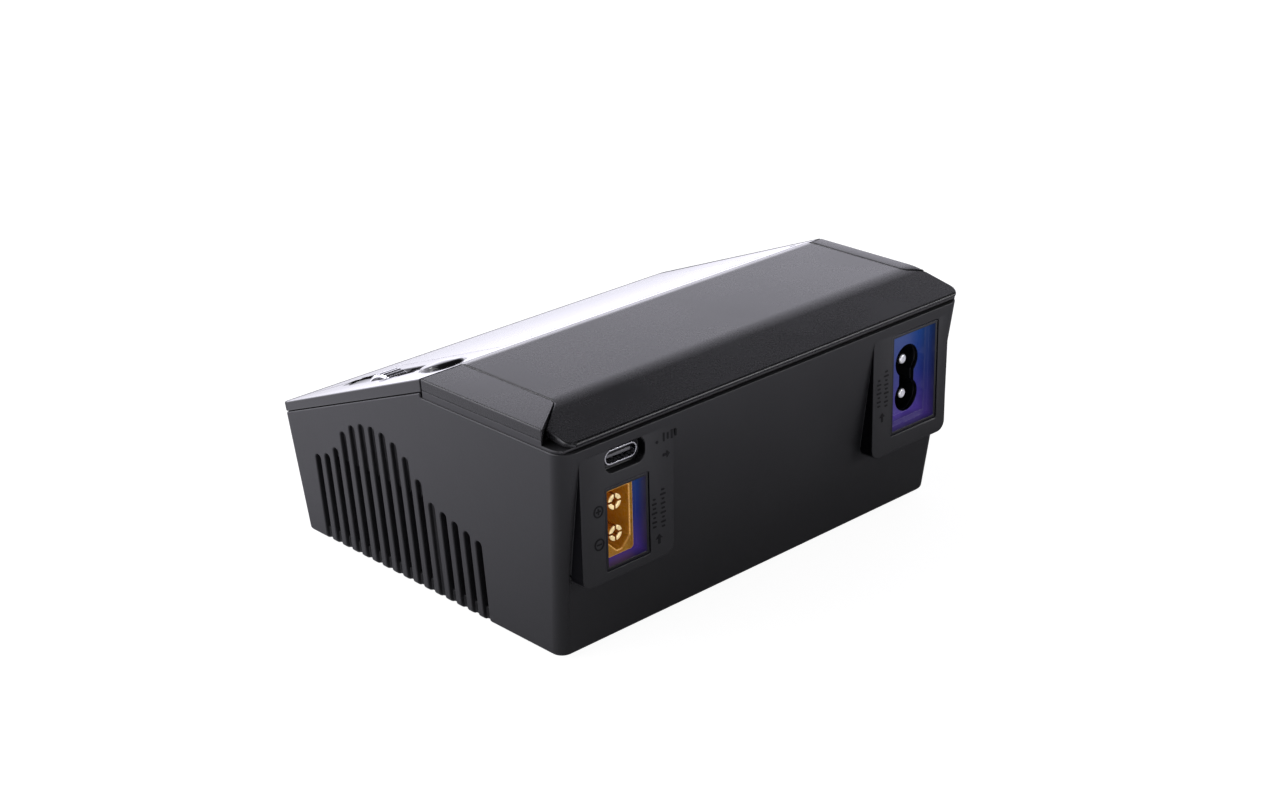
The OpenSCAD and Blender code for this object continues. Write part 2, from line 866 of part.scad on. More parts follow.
// Outline of the plug that enters, with the two corners of one end cut off.
module xt_outline(gap = 0) {
    half_w = xt_w / 2 + gap;
    half_l = xt_l / 2 + gap;
    cut = 2.3;
    polygon([
        [-half_w, half_l],
        [half_w, half_l],
        [half_w, -half_l + cut],
        [half_w - cut, -half_l],
        [-half_w + cut, -half_l],
        [-half_w, -half_l + cut],
    ]);
}

module dc_inlet_housing() {
    shell_t = 1.05;
    socket_depth = 10;
    back_y = 29;
    color(amber) raised() difference() {
        along_y(back_y, dc_floor_y) translate([xt_x, xt_h]) xt_shell();
        along_y(dc_floor_y - socket_depth, dc_floor_y + 1) translate([xt_x, xt_h]) xt_outline(-shell_t);
        for (side = [-1, 1]) translate([xt_x, dc_floor_y, xt_h + side * xt_pitch / 2])
            rotate([90, 0, 0]) cylinder(r = xt_pin_r, h = dc_floor_y - back_y + 1);
    }
}

module dc_inlet_pins() {
    pin_l = 18.7;
    bore_r = 0.85;
    bore_l = 6;
    slit = 0.55;
    slit_l = 5;
    color(gold) raised() for (side = [-1, 1])
        translate([xt_x, dc_floor_y - 1, xt_h + side * xt_pitch / 2]) rotate([90, 0, 0]) difference() {
            cylinder(r = xt_pin_r, h = pin_l);
            translate([0, 0, -1]) cylinder(r = bore_r, h = bore_l + 1);
            for (turn = [0, 90]) rotate(turn)
                box([-2 * xt_pin_r, -slit / 2, -1], [2 * xt_pin_r, slit / 2, slit_l]);
        }
}

module dc_recess_liner() {
    color(glow_blue) raised() difference() {
        intersection() {
            dc_window();
            box([0, dc_floor_y - 1.5, 0], [case_w, liner_mouth_y, top_h]);
        }
        box([dc_x - dc_recess_w / 2, dc_floor_y - 0.5, dc_h - dc_recess_h / 2],
            [dc_x + dc_recess_w / 2, case_d, dc_h + dc_recess_h / 2]);
        along_y(0, case_d) translate([xt_x, xt_h]) xt_shell(0.1);
    }
}

// A stadium outline, long across.
module stadium(w, t) {
    for (end = [-1, 1]) translate([end * (w - t) / 2, 0]) circle(d = t);
    square([w - t, t], center = true);
}

module usb_shell() {
    shell_t = 0.3;
    shell_l = 7.4;
    color(silver) raised() translate([usb_x, usb_mouth_y, usb_h]) rotate([90, 0, 0]) difference() {
        linear_extrude(shell_l) stadium(usb_w, usb_t);
        translate([0, 0, -1]) linear_extrude(shell_l) stadium(usb_w - 2 * shell_t, usb_t - 2 * shell_t);
    }
}

module usb_tongue() {
    tongue_half_w = 3.35;
    tongue_half_t = 0.35;
    color(fan_black) raised()
        box([usb_x - tongue_half_w, usb_mouth_y - 6.4, usb_h - tongue_half_t],
            [usb_x + tongue_half_w, usb_mouth_y - 0.8, usb_h + tongue_half_t]);
}

// --- Mains inlet ------------------------------------------------------------

module figure_eight(gap = 0) {
    waist = 5.2;
    for (side = [-1, 1]) translate([0, side * ac_pitch / 2]) circle(r = ac_lobe_r + gap);
    square([waist + 2 * gap, ac_pitch], center = true);
}

module mains_inlet() {
    body_half_x = 6.4;
    body_half_h = 11;
    body_back_y = 30;
    color(fan_black) raised() difference() {
        along_y(body_back_y, ac_face_y)
            rounded_square(ac_x - body_half_x, ac_pin_h - body_half_h,
                ac_x + body_half_x, ac_pin_h + body_half_h, 1.5);
        along_y(ac_socket_bottom_y, recess_floor_y) translate([ac_x, ac_pin_h]) figure_eight();
        for (side = [-1, 1]) translate([ac_x, recess_floor_y, ac_pin_h + side * ac_pitch / 2])
            rotate([90, 0, 0]) cylinder(r = ac_pin_root_r, h = recess_floor_y - body_back_y + 1);
    }
}

module mains_pins() {
    tip_r = 0.5;
    free_l = ac_face_y - ac_socket_bottom_y;
    root_l = 18;
    color(silver) raised() for (side = [-1, 1])
        translate([ac_x, ac_face_y, ac_pin_h + side * ac_pitch / 2]) rotate([90, 0, 0])
            rotate_extrude() polygon(concat(
                [[0, 0]],
                [for (a = [0:15:90]) [ac_pin_r - tip_r + tip_r * sin(a), tip_r - tip_r * cos(a)]],
                [[ac_pin_r, free_l], [ac_pin_root_r, free_l], [ac_pin_root_r, root_l], [0, root_l]]
            ));
}

module ac_recess_liner() {
    step_in = 1.4;
    step_y = recess_floor_y + 2;
    left = ac_recess_x - ac_recess_w / 2;
    right = ac_recess_x + ac_recess_w / 2;
    low = ac_h - ac_recess_h / 2;
    high = ac_h + ac_recess_h / 2;
    color(glow_blue) raised() difference() {
        intersection() {
            ac_window();
            box([-case_w, recess_floor_y - 1, 0], [0, liner_mouth_y, top_h]);
        }
        box([left, step_y, low], [right, case_d, high]);
        box([left + step_in, recess_floor_y, low + step_in], [right, case_d, high]);
        along_y(0, case_d) translate([ac_x, ac_pin_h]) figure_eight();
    }
}

// --- Front sockets ----------------------------------------------------------

module charge_outlet() {
    outlet_l = 17;
    seat_gap = 0.05;
    color(amber) raised() difference() {
        along_y(outlet_face_y, outlet_face_y + outlet_l)
            translate([outlet_x, socket_h]) rotate(90) xt_outline();
        for (side = [-1, 1]) translate([outlet_x + side * xt_pitch / 2, outlet_face_y - 1, socket_h])
            rotate([-90, 0, 0]) cylinder(r = contact_r + seat_gap, h = outlet_l + 2);
    }
}

module charge_contacts() {
    contact_t = 0.5;
    contact_l = 19;
    bore_l = 10;
    color(gold) raised() for (side = [-1, 1])
        translate([outlet_x + side * xt_pitch / 2, outlet_face_y + 0.6, socket_h])
            rotate([-90, 0, 0]) difference() {
                cylinder(r = contact_r, h = contact_l);
                translate([0, 0, -1]) cylinder(r = contact_r - contact_t, h = bore_l + 1);
            }
}

module balance_socket() {
    face_y = balance_face_y;
    depth = 9.6;
    shell_t = 0.8;
    color("ivory") raised() difference() {
        box([balance_x - balance_l / 2, face_y, socket_h - balance_t / 2],
            [balance_x + balance_l / 2, face_y + depth, socket_h + balance_t / 2]);
        box([balance_x - balance_l / 2 + shell_t, face_y - 1, socket_h - balance_t / 2 + shell_t],
            [balance_x + balance_l / 2 - shell_t, face_y + depth - 2.4, socket_h + balance_t / 2 - shell_t]);
        for (i = [0:1]) {
            x = balance_x + (i * 2 - 1) * (balance_l / 2 - 3.2);
            box([x - 0.9, face_y - 1, socket_h - balance_t], [x + 0.9, face_y + 4.6, socket_h]);
        }
        at_balance_pins() translate([-0.37, 0, -0.37]) cube([0.74, 20, 0.74]);
    }
}

module at_balance_pins() {
    for (i = [0:cells])
        translate([balance_x + (i - cells / 2) * balance_pitch, balance_face_y, socket_h]) children();
}

module balance_pins() {
    pin_half = 0.32;
    color(silver) raised() at_balance_pins()
        box([-pin_half, 1.6, -pin_half], [pin_half, 13, pin_half]);
}

// --- Fan --------------------------------------------------------------------

module at_fan() {
    raised() translate([fan_x, fan_y, fan_h]) rotate([90, 0, 90]) children();
}

module fan_corners() {
    for (x = [-1, 1], y = [-1, 1]) translate([x * fan_hole_pitch / 2, y * fan_hole_pitch / 2, 0]) children();
}

module fan_frame() {
    strut_t = 1.4;
    color(fan_black) at_fan() {
        difference() {
            linear_extrude(fan_t) rounded_square(-fan_size / 2, -fan_size / 2, fan_size / 2, fan_size / 2, 2.5);
            translate([0, 0, strut_t]) cylinder(r = fan_bore_r, h = fan_t);
            translate([0, 0, -1]) difference() {
                cylinder(r = fan_bore_r, h = strut_t + 2);
                cylinder(r = fan_hub_r, h = strut_t + 2);
                for (i = [0:3]) rotate(i * 90 + 20) box([0, -1, 0], [fan_bore_r + 1, 1, strut_t + 2]);
            }
            fan_corners() translate([0, 0, -1]) cylinder(r = 1.5, h = fan_t + 2);
            translate([0, 0, -1]) cylinder(r = fan_shaft_r + 0.05, h = fan_t);
        }
        translate([0, 0, strut_t]) difference() {
            cylinder(r = 2.6, h = 4.6);
            translate([0, 0, -1]) cylinder(r = fan_shaft_r + 0.05, h = 8);
        }
    }
}

module fan_rotor() {
    hub_bottom = 2;
    hub_top = fan_t - 0.8;
    blade_tip_r = fan_bore_r - 0.5;
    blade_lean = 38;
    color(fan_black) at_fan() difference() {
        union() {
            translate([0, 0, hub_bottom]) cylinder(r = fan_hub_r, h = hub_top - hub_bottom);
            intersection() {
                translate([0, 0, hub_bottom]) cylinder(r = blade_tip_r, h = hub_top - hub_bottom);
                for (i = [0:fan_blades - 1]) rotate(i * 360 / fan_blades)
                    translate([0, 0, (hub_bottom + hub_top) / 2]) rotate([blade_lean, 0, 0])
                        box([fan_hub_r - 0.8, -0.45, -6], [fan_bore_r + 1, 0.45, 6]);
            }
        }
        translate([0, 0, hub_bottom - 1]) cylinder(r = fan_hub_r - 1, h = 5.8);
        cylinder(r = fan_shaft_r, h = fan_t - 1.6);
    }
}

module fan_shaft() {
    color(silver) at_fan() translate([0, 0, 0.6]) cylinder(r = fan_shaft_r, h = fan_t - 2.2);
}

module fan_bracket() {
    plate_x = fan_x + fan_t;
    bracket_t = 1.6;
    half_w = fan_size / 2 + 2;
    color(case_grey) raised() difference() {
        union() {
            box([plate_x, fan_y - half_w, plate_t], [plate_x + bracket_t, fan_y + half_w, fan_h + 13]);
            box([plate_x, fan_y - half_w, plate_t], [plate_x + 7, fan_y + half_w, plate_t + 0.8]);
        }
        translate([plate_x - 1, fan_y, fan_h]) rotate([0, 90, 0]) cylinder(r = fan_bore_r, h = 4);
        translate([plate_x - 1, fan_y, fan_h]) rotate([90, 0, 90]) fan_corners() cylinder(r = 1.5, h = 4);
        box([plate_x - 1, fan_y - fan_bore_r, fan_h], [plate_x + 8, fan_y + fan_bore_r, top_h]);
    }
}

module fan_screws() {
    color(silver) at_fan() for (x = [-1, 1])
        translate([x * fan_hole_pitch / 2, -fan_hole_pitch / 2, fan_t + 3.2])
            mirror([0, 0, 1]) screw(1.35, 12, 2.4, 1.6);
}

// --- Power parts on the main board ------------------------------------------

module transformer_core() {
    color([0.2, 0.2, 0.2]) raised() difference() {
        box([-44, -12, board_top], [-18, 10, board_top + 20]);
        box([-40, -13, board_top + 4], [-33.5, 11, board_top + 16]);
        box([-28.5, -13, board_top + 4], [-22, 11, board_top + 16]);
    }
}

module transformer_coil() {
    color([0.85, 0.68, 0.2]) raised() difference() {
        box([-39.8, -15, board_top + 4.2], [-22.2, 13, board_top + 15.8]);
        box([-33.7, -12.2, board_top + 2], [-28.3, 10.2, board_top + 18]);
    }
}

module bulk_capacitors() {
    cap_r = 6;
    cap_h = 18;
    color([0.1, 0.12, 0.25]) raised() for (i = [0:2]) {
        translate([-13 + i * 12.6, -17.5, board_top]) {
            cylinder(r = cap_r, h = cap_h);
            translate([0, 0, cap_h]) cylinder(r = cap_r - 0.7, h = 0.5);
        }
    }
}

module power_inductor() {
    color([0.72, 0.4, 0.18]) raised() translate([-10, 16.5, board_top]) rotate_extrude()
        translate([5.2, 3.4]) circle(r = 3.2);
}

module heatsink() {
    fin_pitch = 4.4;
    fin_t = 1.6;
    color([0.7, 0.7, 0.72]) raised() {
        box([4, -6, board_top], [22, -6 + 5 * fin_pitch + fin_t, board_top + 3]);
        for (i = [0:5]) {
            box([4, -6 + i * fin_pitch, board_top + 3], [22, -6 + i * fin_pitch + fin_t, board_top + 18]);
        }
    }
}

module power_transistors() {
    color([0.12, 0.12, 0.12]) raised() for (i = [0:2]) {
        box([-1.2, -4.6 + i * 7.6, board_top], [3.4, 2.4 + i * 7.6, board_top + 14]);
    }
}

module buzzer() {
    color(fan_black) raised() translate([-31, 20, board_top]) difference() {
        cylinder(r = 4.5, h = 6);
        translate([0, 0, 4]) cylinder(r = 1, h = 3);
    }
}

// --- Cables -----------------------------------------------------------------

// A round cable through a list of points.
module cable(points, r) {
    for (i = [0:len(points) - 2]) hull() {
        translate(points[i]) sphere(r = r, $fn = 14);
        translate(points[i + 1]) sphere(r = r, $fn = 14);
    }
}

module mains_wires() {
    color([0.45, 0.25, 0.12]) raised() for (side = [-1, 1]) {
        h = ac_pin_h + side * ac_pitch / 2;
        cable([[ac_x, 24, h], [ac_x + 5 + side * 3, 20, h - 6], [ac_x + 5 + side * 3, 15, board_top + 1.3]], 1.2);
    }
}

module dc_wires() {
    color([0.7, 0.05, 0.05]) raised() for (side = [-1, 1]) {
        h = xt_h + side * xt_pitch / 2;
        cable([[xt_x, 24.2, h], [xt_x - 8, 18 + side * 3, h - 5], [24.3, 12 + side * 3, board_top + 1.7]], 1.5);
    }
}

module fan_cable() {
    color([0.1, 0.1, 0.1]) raised()
        cable([[fan_x - 1.2, fan_y - 8, 4.4], [24, -29.5, 4.4], [14, -29, 11], [13.6, -26, board_top + 1.1]], 0.9);
}

module display_ribbon() {
    color([0.85, 0.85, 0.8]) raised() {
        box([-8, board_y0 + 0.5, board_top], [8, board_y0 + 0.8, 34.3]);
    }
}

tub();
base_plate();
upper_frame();
rear_cover();
right_cap();
left_cap();
front_panel();
display_window();
display_module();
status_lens();
scroll_wheel();
wheel_axle();
wheel_yoke();
wheel_switch();
back_button();
button_switch();
control_board();
main_board();
board_standoffs();
inlet_board();
dc_inlet_housing();
dc_inlet_pins();
dc_recess_liner();
usb_shell();
usb_tongue();
mains_inlet();
mains_pins();
ac_recess_liner();
charge_outlet();
charge_contacts();
balance_socket();
balance_pins();
fan_frame();
fan_rotor();
fan_shaft();
fan_bracket();
transformer_core();
transformer_coil();
bulk_capacitors();
power_inductor();
heatsink();
power_transistors();
buzzer();
display_ribbon();
mains_wires();
dc_wires();
fan_cable();
rubber_feet();
case_screws();
fan_screws();
board_screws();
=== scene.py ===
"""Balance battery charger: materials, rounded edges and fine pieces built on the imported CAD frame."""

import json
import math
import random

import bmesh
import bpy
from mathutils import Matrix, Vector


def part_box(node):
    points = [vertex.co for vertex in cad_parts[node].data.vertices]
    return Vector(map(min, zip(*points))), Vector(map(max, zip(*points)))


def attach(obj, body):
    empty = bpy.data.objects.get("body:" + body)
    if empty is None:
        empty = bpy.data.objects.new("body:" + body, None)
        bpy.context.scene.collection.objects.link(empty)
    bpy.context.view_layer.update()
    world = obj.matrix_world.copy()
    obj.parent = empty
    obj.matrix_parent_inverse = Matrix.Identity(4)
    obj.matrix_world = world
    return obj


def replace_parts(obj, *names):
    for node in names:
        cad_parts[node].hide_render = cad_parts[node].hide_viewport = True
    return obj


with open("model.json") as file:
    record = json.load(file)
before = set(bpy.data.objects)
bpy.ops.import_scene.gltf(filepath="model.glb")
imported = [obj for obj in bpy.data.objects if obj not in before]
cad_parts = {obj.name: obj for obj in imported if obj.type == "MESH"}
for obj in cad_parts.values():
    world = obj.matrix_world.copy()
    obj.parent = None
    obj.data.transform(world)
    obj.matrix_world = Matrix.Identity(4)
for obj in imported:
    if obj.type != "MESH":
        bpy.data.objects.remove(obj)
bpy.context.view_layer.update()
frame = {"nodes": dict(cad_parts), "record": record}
NODES = frame["nodes"]
MM = 0.001

PANEL_SLOPE = math.atan(21.7 / 55.0)  # rise over run of the sloping panel
FRONT_LEAN = math.radians(5.7)  # the front wall leans back by this much
PLAIN_SPECULAR = 0.5


# --- Shader helpers -----------------------------------------------------------


class Nodes:
    """A node tree with short calls for the nodes put into it."""

    def __init__(self, tree):
        self.tree = tree

    def node(self, kind, **settings):
        made = self.tree.nodes.new(kind)
        for key, value in settings.items():
            setattr(made, key, value)
        return made

    def link(self, output, socket):
        self.tree.links.new(output, socket)

    def fill(self, socket, value):
        """Sets a socket from a number, a colour or another node's output."""
        if isinstance(value, bpy.types.NodeSocket):
            self.link(value, socket)
        else:
            socket.default_value = value

    def spread(self, source, low, high, start=0.0, end=1.0, curve="LINEAR"):
        """Maps source from start..end to low..high, held at the ends."""
        made = self.node("ShaderNodeMapRange", interpolation_type=curve)
        self.link(source, made.inputs["Value"])
        made.inputs["From Min"].default_value = start
        made.inputs["From Max"].default_value = end
        made.inputs["To Min"].default_value = low
        made.inputs["To Max"].default_value = high
        return made.outputs["Result"]

    def combine(self, operation, first, second):
        made = self.node("ShaderNodeMath", operation=operation)
        for socket, value in zip(made.inputs, (first, second)):
            self.fill(socket, value)
        return made.outputs["Value"]

    def product(self, first, *others):
        for other in others:
            first = self.combine("MULTIPLY", first, other)
        return first

    def total(self, first, *others):
        for other in others:
            first = self.combine("ADD", first, other)
        return first


class Finish(Nodes):
    """A Principled material with short calls for the procedural detail put into it.

    Texture scales count features per metre, and bump distances are heights in metres.
    """

    def __init__(self, name, color, roughness, metallic=0.0, specular=PLAIN_SPECULAR):
        self.mat = bpy.data.materials.new(name)
        self.mat.use_nodes = True
        super().__init__(self.mat.node_tree)
        self.bsdf = self.tree.nodes["Principled BSDF"]
        self.put("Base Color", (*color, 1.0))
        self.put("Roughness", roughness)
        self.put("Metallic", metallic)
        self.put("Specular IOR Level", specular)
        self.color = (*color, 1.0)
        self.coords = self.node("ShaderNodeTexCoord").outputs["Object"]

    @classmethod
    def of(cls, mat):
        """Opens a finished material again, to add to it."""
        f = cls.__new__(cls)
        f.mat, f.tree = mat, mat.node_tree
        f.bsdf = f.tree.nodes["Principled BSDF"]
        f.coords = f.node("ShaderNodeTexCoord").outputs["Object"]
        return f

    def put(self, socket_name, value):
        """Sets an input of the surface, from a number, a colour or another node's output."""
        self.fill(self.bsdf.inputs[socket_name], value)

    def stretched(self, scale, rotation=(0.0, 0.0, 0.0)):
        """The object coordinates scaled and turned, for long or slanting patterns."""
        mapping = self.node("ShaderNodeMapping")
        self.link(self.coords, mapping.inputs["Vector"])
        mapping.inputs["Scale"].default_value = scale
        mapping.inputs["Rotation"].default_value = rotation
        return mapping.outputs["Vector"]

    def noise(self, scale, detail=3.0, roughness=0.55, vector=None):
        made = self.node("ShaderNodeTexNoise")
        self.link(vector or self.coords, made.inputs["Vector"])
        made.inputs["Scale"].default_value = scale
        made.inputs["Detail"].default_value = detail
        made.inputs["Roughness"].default_value = roughness
        return made.outputs["Fac"]

    def scratches(self, stretch, rotation):
        """Fine lines along one axis of the object, tilted by the rotation."""
        return self.noise(1.0, 2.0, 0.5, vector=self.stretched(stretch, rotation))

    def cells(self, scale):
        made = self.node("ShaderNodeTexVoronoi")
        self.link(self.coords, made.inputs["Vector"])
        made.inputs["Scale"].default_value = scale
        return made.outputs["Distance"]

    def waves(self, scale, direction, distortion=0.0, detail=0.0):
        made = self.node("ShaderNodeTexWave", bands_direction=direction)
        self.link(self.coords, made.inputs["Vector"])
        made.inputs["Scale"].default_value = scale
        made.inputs["Distortion"].default_value = distortion
        made.inputs["Detail"].default_value = detail
        return made.outputs["Fac"]

    def mix(self, factor, first, second):
        """Mixes two colours; inputs 6 and 7 and output 2 are the node's colour sockets."""
        made = self.node("ShaderNodeMix", data_type="RGBA")
        self.fill(made.inputs["Factor"], factor)
        self.fill(made.inputs[6], first)
        self.fill(made.inputs[7], second)
        return made.outputs[2]

    def along(self, axis):
        """The object coordinate along X, Y or Z, in metres."""
        made = self.node("ShaderNodeSeparateXYZ")
        self.link(self.coords, made.inputs["Vector"])
        return made.outputs[axis]

    def bump(self, height, strength, distance):
        made = self.node("ShaderNodeBump")
        self.link(height, made.inputs["Height"])
        made.inputs["Strength"].default_value = strength
        made.inputs["Distance"].default_value = distance
        self.put("Normal", made.outputs["Normal"])

    def edges(self, radius, gain):
        """A mask that rises to gain on edges, where a rounded normal leaves the true one."""
        bevel = self.node("ShaderNodeBevel", samples=4)
        bevel.inputs["Radius"].default_value = radius
        geometry = self.node("ShaderNodeNewGeometry")
        dot = self.node("ShaderNodeVectorMath", operation="DOT_PRODUCT")
        self.link(bevel.outputs["Normal"], dot.inputs[0])
        self.link(geometry.outputs["Normal"], dot.inputs[1])
        return self.spread(dot.outputs["Value"], gain, 0.0, 0.75, 0.99)


def scaled(color, gain, lift=0.0):
    """A colour made lighter or darker, with its alpha."""
    return (*[min(1.0, c * gain + lift) for c in color], 1.0)


def moulded(name, color, roughness, grain=1.0, wear=0.25, specular=PLAIN_SPECULAR, patch=0.06):
    """Spark-textured moulded plastic: a fine grain, slow patches of gloss and rubbed edges."""
    f = Finish(name, color, roughness, specular=specular)
    fine = f.noise(2300, 3.0, 0.6)
    pits = f.cells(1500)
    slow = f.noise(38, 4.0, 0.55)
    f.bump(f.total(f.product(fine, 0.6), f.product(pits, 0.4)), 0.16 * grain, 0.06 * MM)
    worn = f.product(f.edges(0.4 * MM, wear), f.spread(f.noise(260, 4.0), 0.1, 1.0, 0.35, 0.65))
    shade = f.mix(f.spread(slow, 0.0, 0.35, 0.3, 0.7), f.color, scaled(color, 1.25, 0.002))
    f.put("Base Color", f.mix(worn, shade, scaled(color, 3.0, 0.03)))
    rough = f.spread(slow, roughness - patch, roughness + patch, 0.3, 0.7)
    rough = f.total(rough, f.spread(fine, -0.05, 0.05))
    f.put("Roughness", f.combine("SUBTRACT", rough, f.product(worn, 0.2)))
    return f.mat


def shaded_pads(name, color, roughness):
    """The tub's plastic, with painted shade on the narrow sides of the rear pads: a near-black colour
    and little specular there.
    """
    mat = moulded(name, color, roughness)
    f = Finish.of(mat)
    facing = f.node("ShaderNodeSeparateXYZ")
    f.link(f.node("ShaderNodeNewGeometry").outputs["True Normal"], facing.inputs["Vector"])
    pad_start_y, pad_end_x = 41.0 * MM, 57.8 * MM
    sideways = f.spread(facing.outputs["X"], 0.0, 1.0, 0.7, 0.9)
    rearward = f.spread(f.along("Y"), 0.0, 1.0, pad_start_y, pad_start_y + 0.5 * MM)
    inward = f.spread(f.along("X"), 1.0, 0.0, pad_end_x - 0.1 * MM, pad_end_x + 0.1 * MM)
    # painted shade: the narrow +X sides of the rear pads are made near-black and low in specular,
    # standing in for the deep shade on them
    mask = f.product(sideways, rearward, inward)
    f.put("Specular IOR Level", f.combine("SUBTRACT", PLAIN_SPECULAR, f.product(mask, 0.47)))
    shade = f.bsdf.inputs["Base Color"].links[0].from_socket
    f.put("Base Color", f.mix(mask, shade, (0.004, 0.004, 0.005, 1.0)))
    return mat


def bordered_gloss(name):
    """The glossy panel, with a rougher line along its front edge and its far end, whose lighter grey
    colour is a painted reflection of the rounded edges.
    """
    f = Finish(name, (0.006, 0.006, 0.007), 0.06)
    low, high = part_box("front_panel")
    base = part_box("base_plate")[1]
    border, faded = 1.5 * MM, 2.4 * MM
    lean = (high.x - base.x) / (high.z - base.z)  # the side walls lean out by this much
    far_end = lean * high.z - high.x
    end = f.total(f.along("X"), f.product(f.along("Z"), lean))
    end = f.spread(end, 1.0, 0.0, far_end + border, far_end + faded)
    front = f.spread(f.along("Y"), 1.0, 0.0, low.y + border, low.y + faded)
    matte_painted_line = f.combine("MAXIMUM", front, end)
    smear = f.noise(26, 3.0)
    scratch = f.scratches((60, 2400, 2400), (0.2, 0.1, 0.5))
    gloss = f.total(f.spread(smear, 0.035, 0.09, 0.3, 0.7), f.spread(scratch, 0.0, 0.04, 0.68, 0.74))
    f.put("Roughness", f.total(gloss, f.product(matte_painted_line, 0.5)))
    f.put("Specular IOR Level", f.combine("SUBTRACT", PLAIN_SPECULAR, f.product(matte_painted_line, 0.35)))
    # painted reflection: the border line is coloured grey where the rounded edges would mirror the
    # darker floor near the object
    f.put("Base Color", f.mix(matte_painted_line, f.color, (0.05, 0.05, 0.052, 1.0)))
    f.put("Coat Weight", f.combine("SUBTRACT", 0.4, f.product(matte_painted_line, 0.4)))
    f.put("Coat Roughness", 0.03)
    f.bump(scratch, 0.03, 0.02 * MM)
    return f.mat


def metal(name, color, roughness, brush=(1.0, 1.0, 1.0), tarnish=0.25):
    """Plated metal: fine brushing, a little tarnish and brighter edges."""
    f = Finish(name, color, roughness, metallic=1.0)
    lines = f.noise(1500, 3.0, 0.6, vector=f.stretched(brush))
    stain_and_glow_patches = f.noise(240, 4.0)
    base = f.mix(f.spread(stain_and_glow_patches, 0.0, tarnish, 0.4, 0.75), f.color, scaled(color, 0.55))
    f.put("Base Color", f.mix(f.edges(0.2 * MM, 0.5), base, scaled(color, 1.25)))
    f.put("Roughness", f.spread(lines, roughness * 0.7, roughness * 1.5, 0.3, 0.7))
    f.bump(lines, 0.08, 0.03 * MM)
    return f.mat


def painted_glow_liner(name, node, floor_y, gain):
    """Recess walls with a painted glow, blue above and violet below and fading out to the mouth,
    emitted in place of coloured light falling on them.

    floor_y is where the recess has its floor: the liner behind it stays dark.
    """
    low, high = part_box(node)
    f = Finish(name, (0.02, 0.03, 0.12), 0.3)
    height = f.spread(f.along("Z"), 0.0, 1.0, low.z, high.z)
    drift = f.total(height, f.spread(f.noise(90, 2.0), -0.08, 0.08))
    tint = f.node("ShaderNodeValToRGB")
    f.link(drift, tint.inputs["Fac"])
    bottom, top = tint.color_ramp.elements
    bottom.position, bottom.color = 0.05, (0.048, 0.026, 0.18, 1.0)
    top.position, top.color = 0.95, (0.009, 0.042, 0.17, 1.0)
    tint.color_ramp.elements.new(0.5).color = (0.012, 0.022, 0.15, 1.0)
    depth = f.along("Y")
    inside = f.spread(depth, 0.0, 1.0, floor_y - 0.15 * MM, floor_y - 0.02 * MM)
    fade = f.spread(depth, 0.9, 0.22, floor_y + 0.4 * MM, high.y - 0.4 * MM)
    mouth = f.spread(depth, 1.0, 0.0, high.y - 0.12 * MM, high.y - 0.02 * MM)
    painted_glow = f.product(inside, fade, mouth)
    walls = f.product(inside, mouth)
    f.put("Base Color", f.mix(walls, (0.012, 0.012, 0.014, 1.0), (0.03, 0.03, 0.06, 1.0)))
    # painted light: the emission stands in for the coloured light on the recess walls
    f.put("Emission Color", tint.outputs["Color"])
    f.put("Emission Strength", f.product(painted_glow, gain))
    f.put("Roughness", f.spread(f.noise(700, 3.0), 0.25, 0.42))
    f.bump(f.noise(1500, 2.0), 0.06, 0.04 * MM)
    return f.mat


def amber_nylon(name):
    """Cloudy amber nylon that lets light through, with a painted glow over it that is brightest along
    its rims as a painted highlight.
    """
    f = Finish(name, (0.86, 0.36, 0.015), 0.3)
    cloud = f.spread(f.noise(300, 3.0), 0.0, 1.0, 0.3, 0.7)
    f.put("Base Color", f.mix(cloud, (0.66, 0.33, 0.03, 1.0), (0.46, 0.2, 0.015, 1.0)))
    f.put("Subsurface Weight", 0.35)
    f.put("Subsurface Radius", (0.003, 0.0012, 0.0003))
    f.put("Subsurface Scale", 0.5)
    # painted highlight: the rims are made to glow brighter and paler than the rest of the shell
    rim = f.edges(0.5 * MM, 1.0)
    f.put("Emission Color", f.mix(rim, (0.6, 0.24, 0.02, 1.0), (1.0, 0.66, 0.27, 1.0)))
    f.put("Emission Strength", f.spread(rim, 0.1, 1.1))
    f.put("Roughness", f.spread(f.noise(1200, 3.0), 0.2, 0.4, 0.3, 0.7))
    f.bump(f.noise(1300, 2.0), 0.06, 0.04 * MM)
    return f.mat


def painted_highlight_tips(name, node, color, strength):
    """Contact metal with a painted highlight: its front ends glow, in place of the light of the recess
    falling on them.
    """
    f = Finish(name, color, 0.3, metallic=1.0)
    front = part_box(node)[1].y
    painted_tip_highlight = f.spread(f.along("Y"), 0.0, 1.0, front - 0.35 * MM, front - 0.05 * MM)
    lines = f.noise(1500, 3.0, 0.6)
    stain_and_glow_patches = f.spread(f.noise(900, 3.0), 0.75, 1.0, 0.35, 0.6)
    # painted highlight: the front ends of the pins glow, broken into patches
    f.put("Emission Color", scaled(color, 1.1))
    f.put("Emission Strength", f.product(painted_tip_highlight, stain_and_glow_patches, strength))
    f.put("Roughness", f.spread(lines, 0.2, 0.4, 0.3, 0.7))
    f.bump(lines, 0.08, 0.03 * MM)
    return f.mat


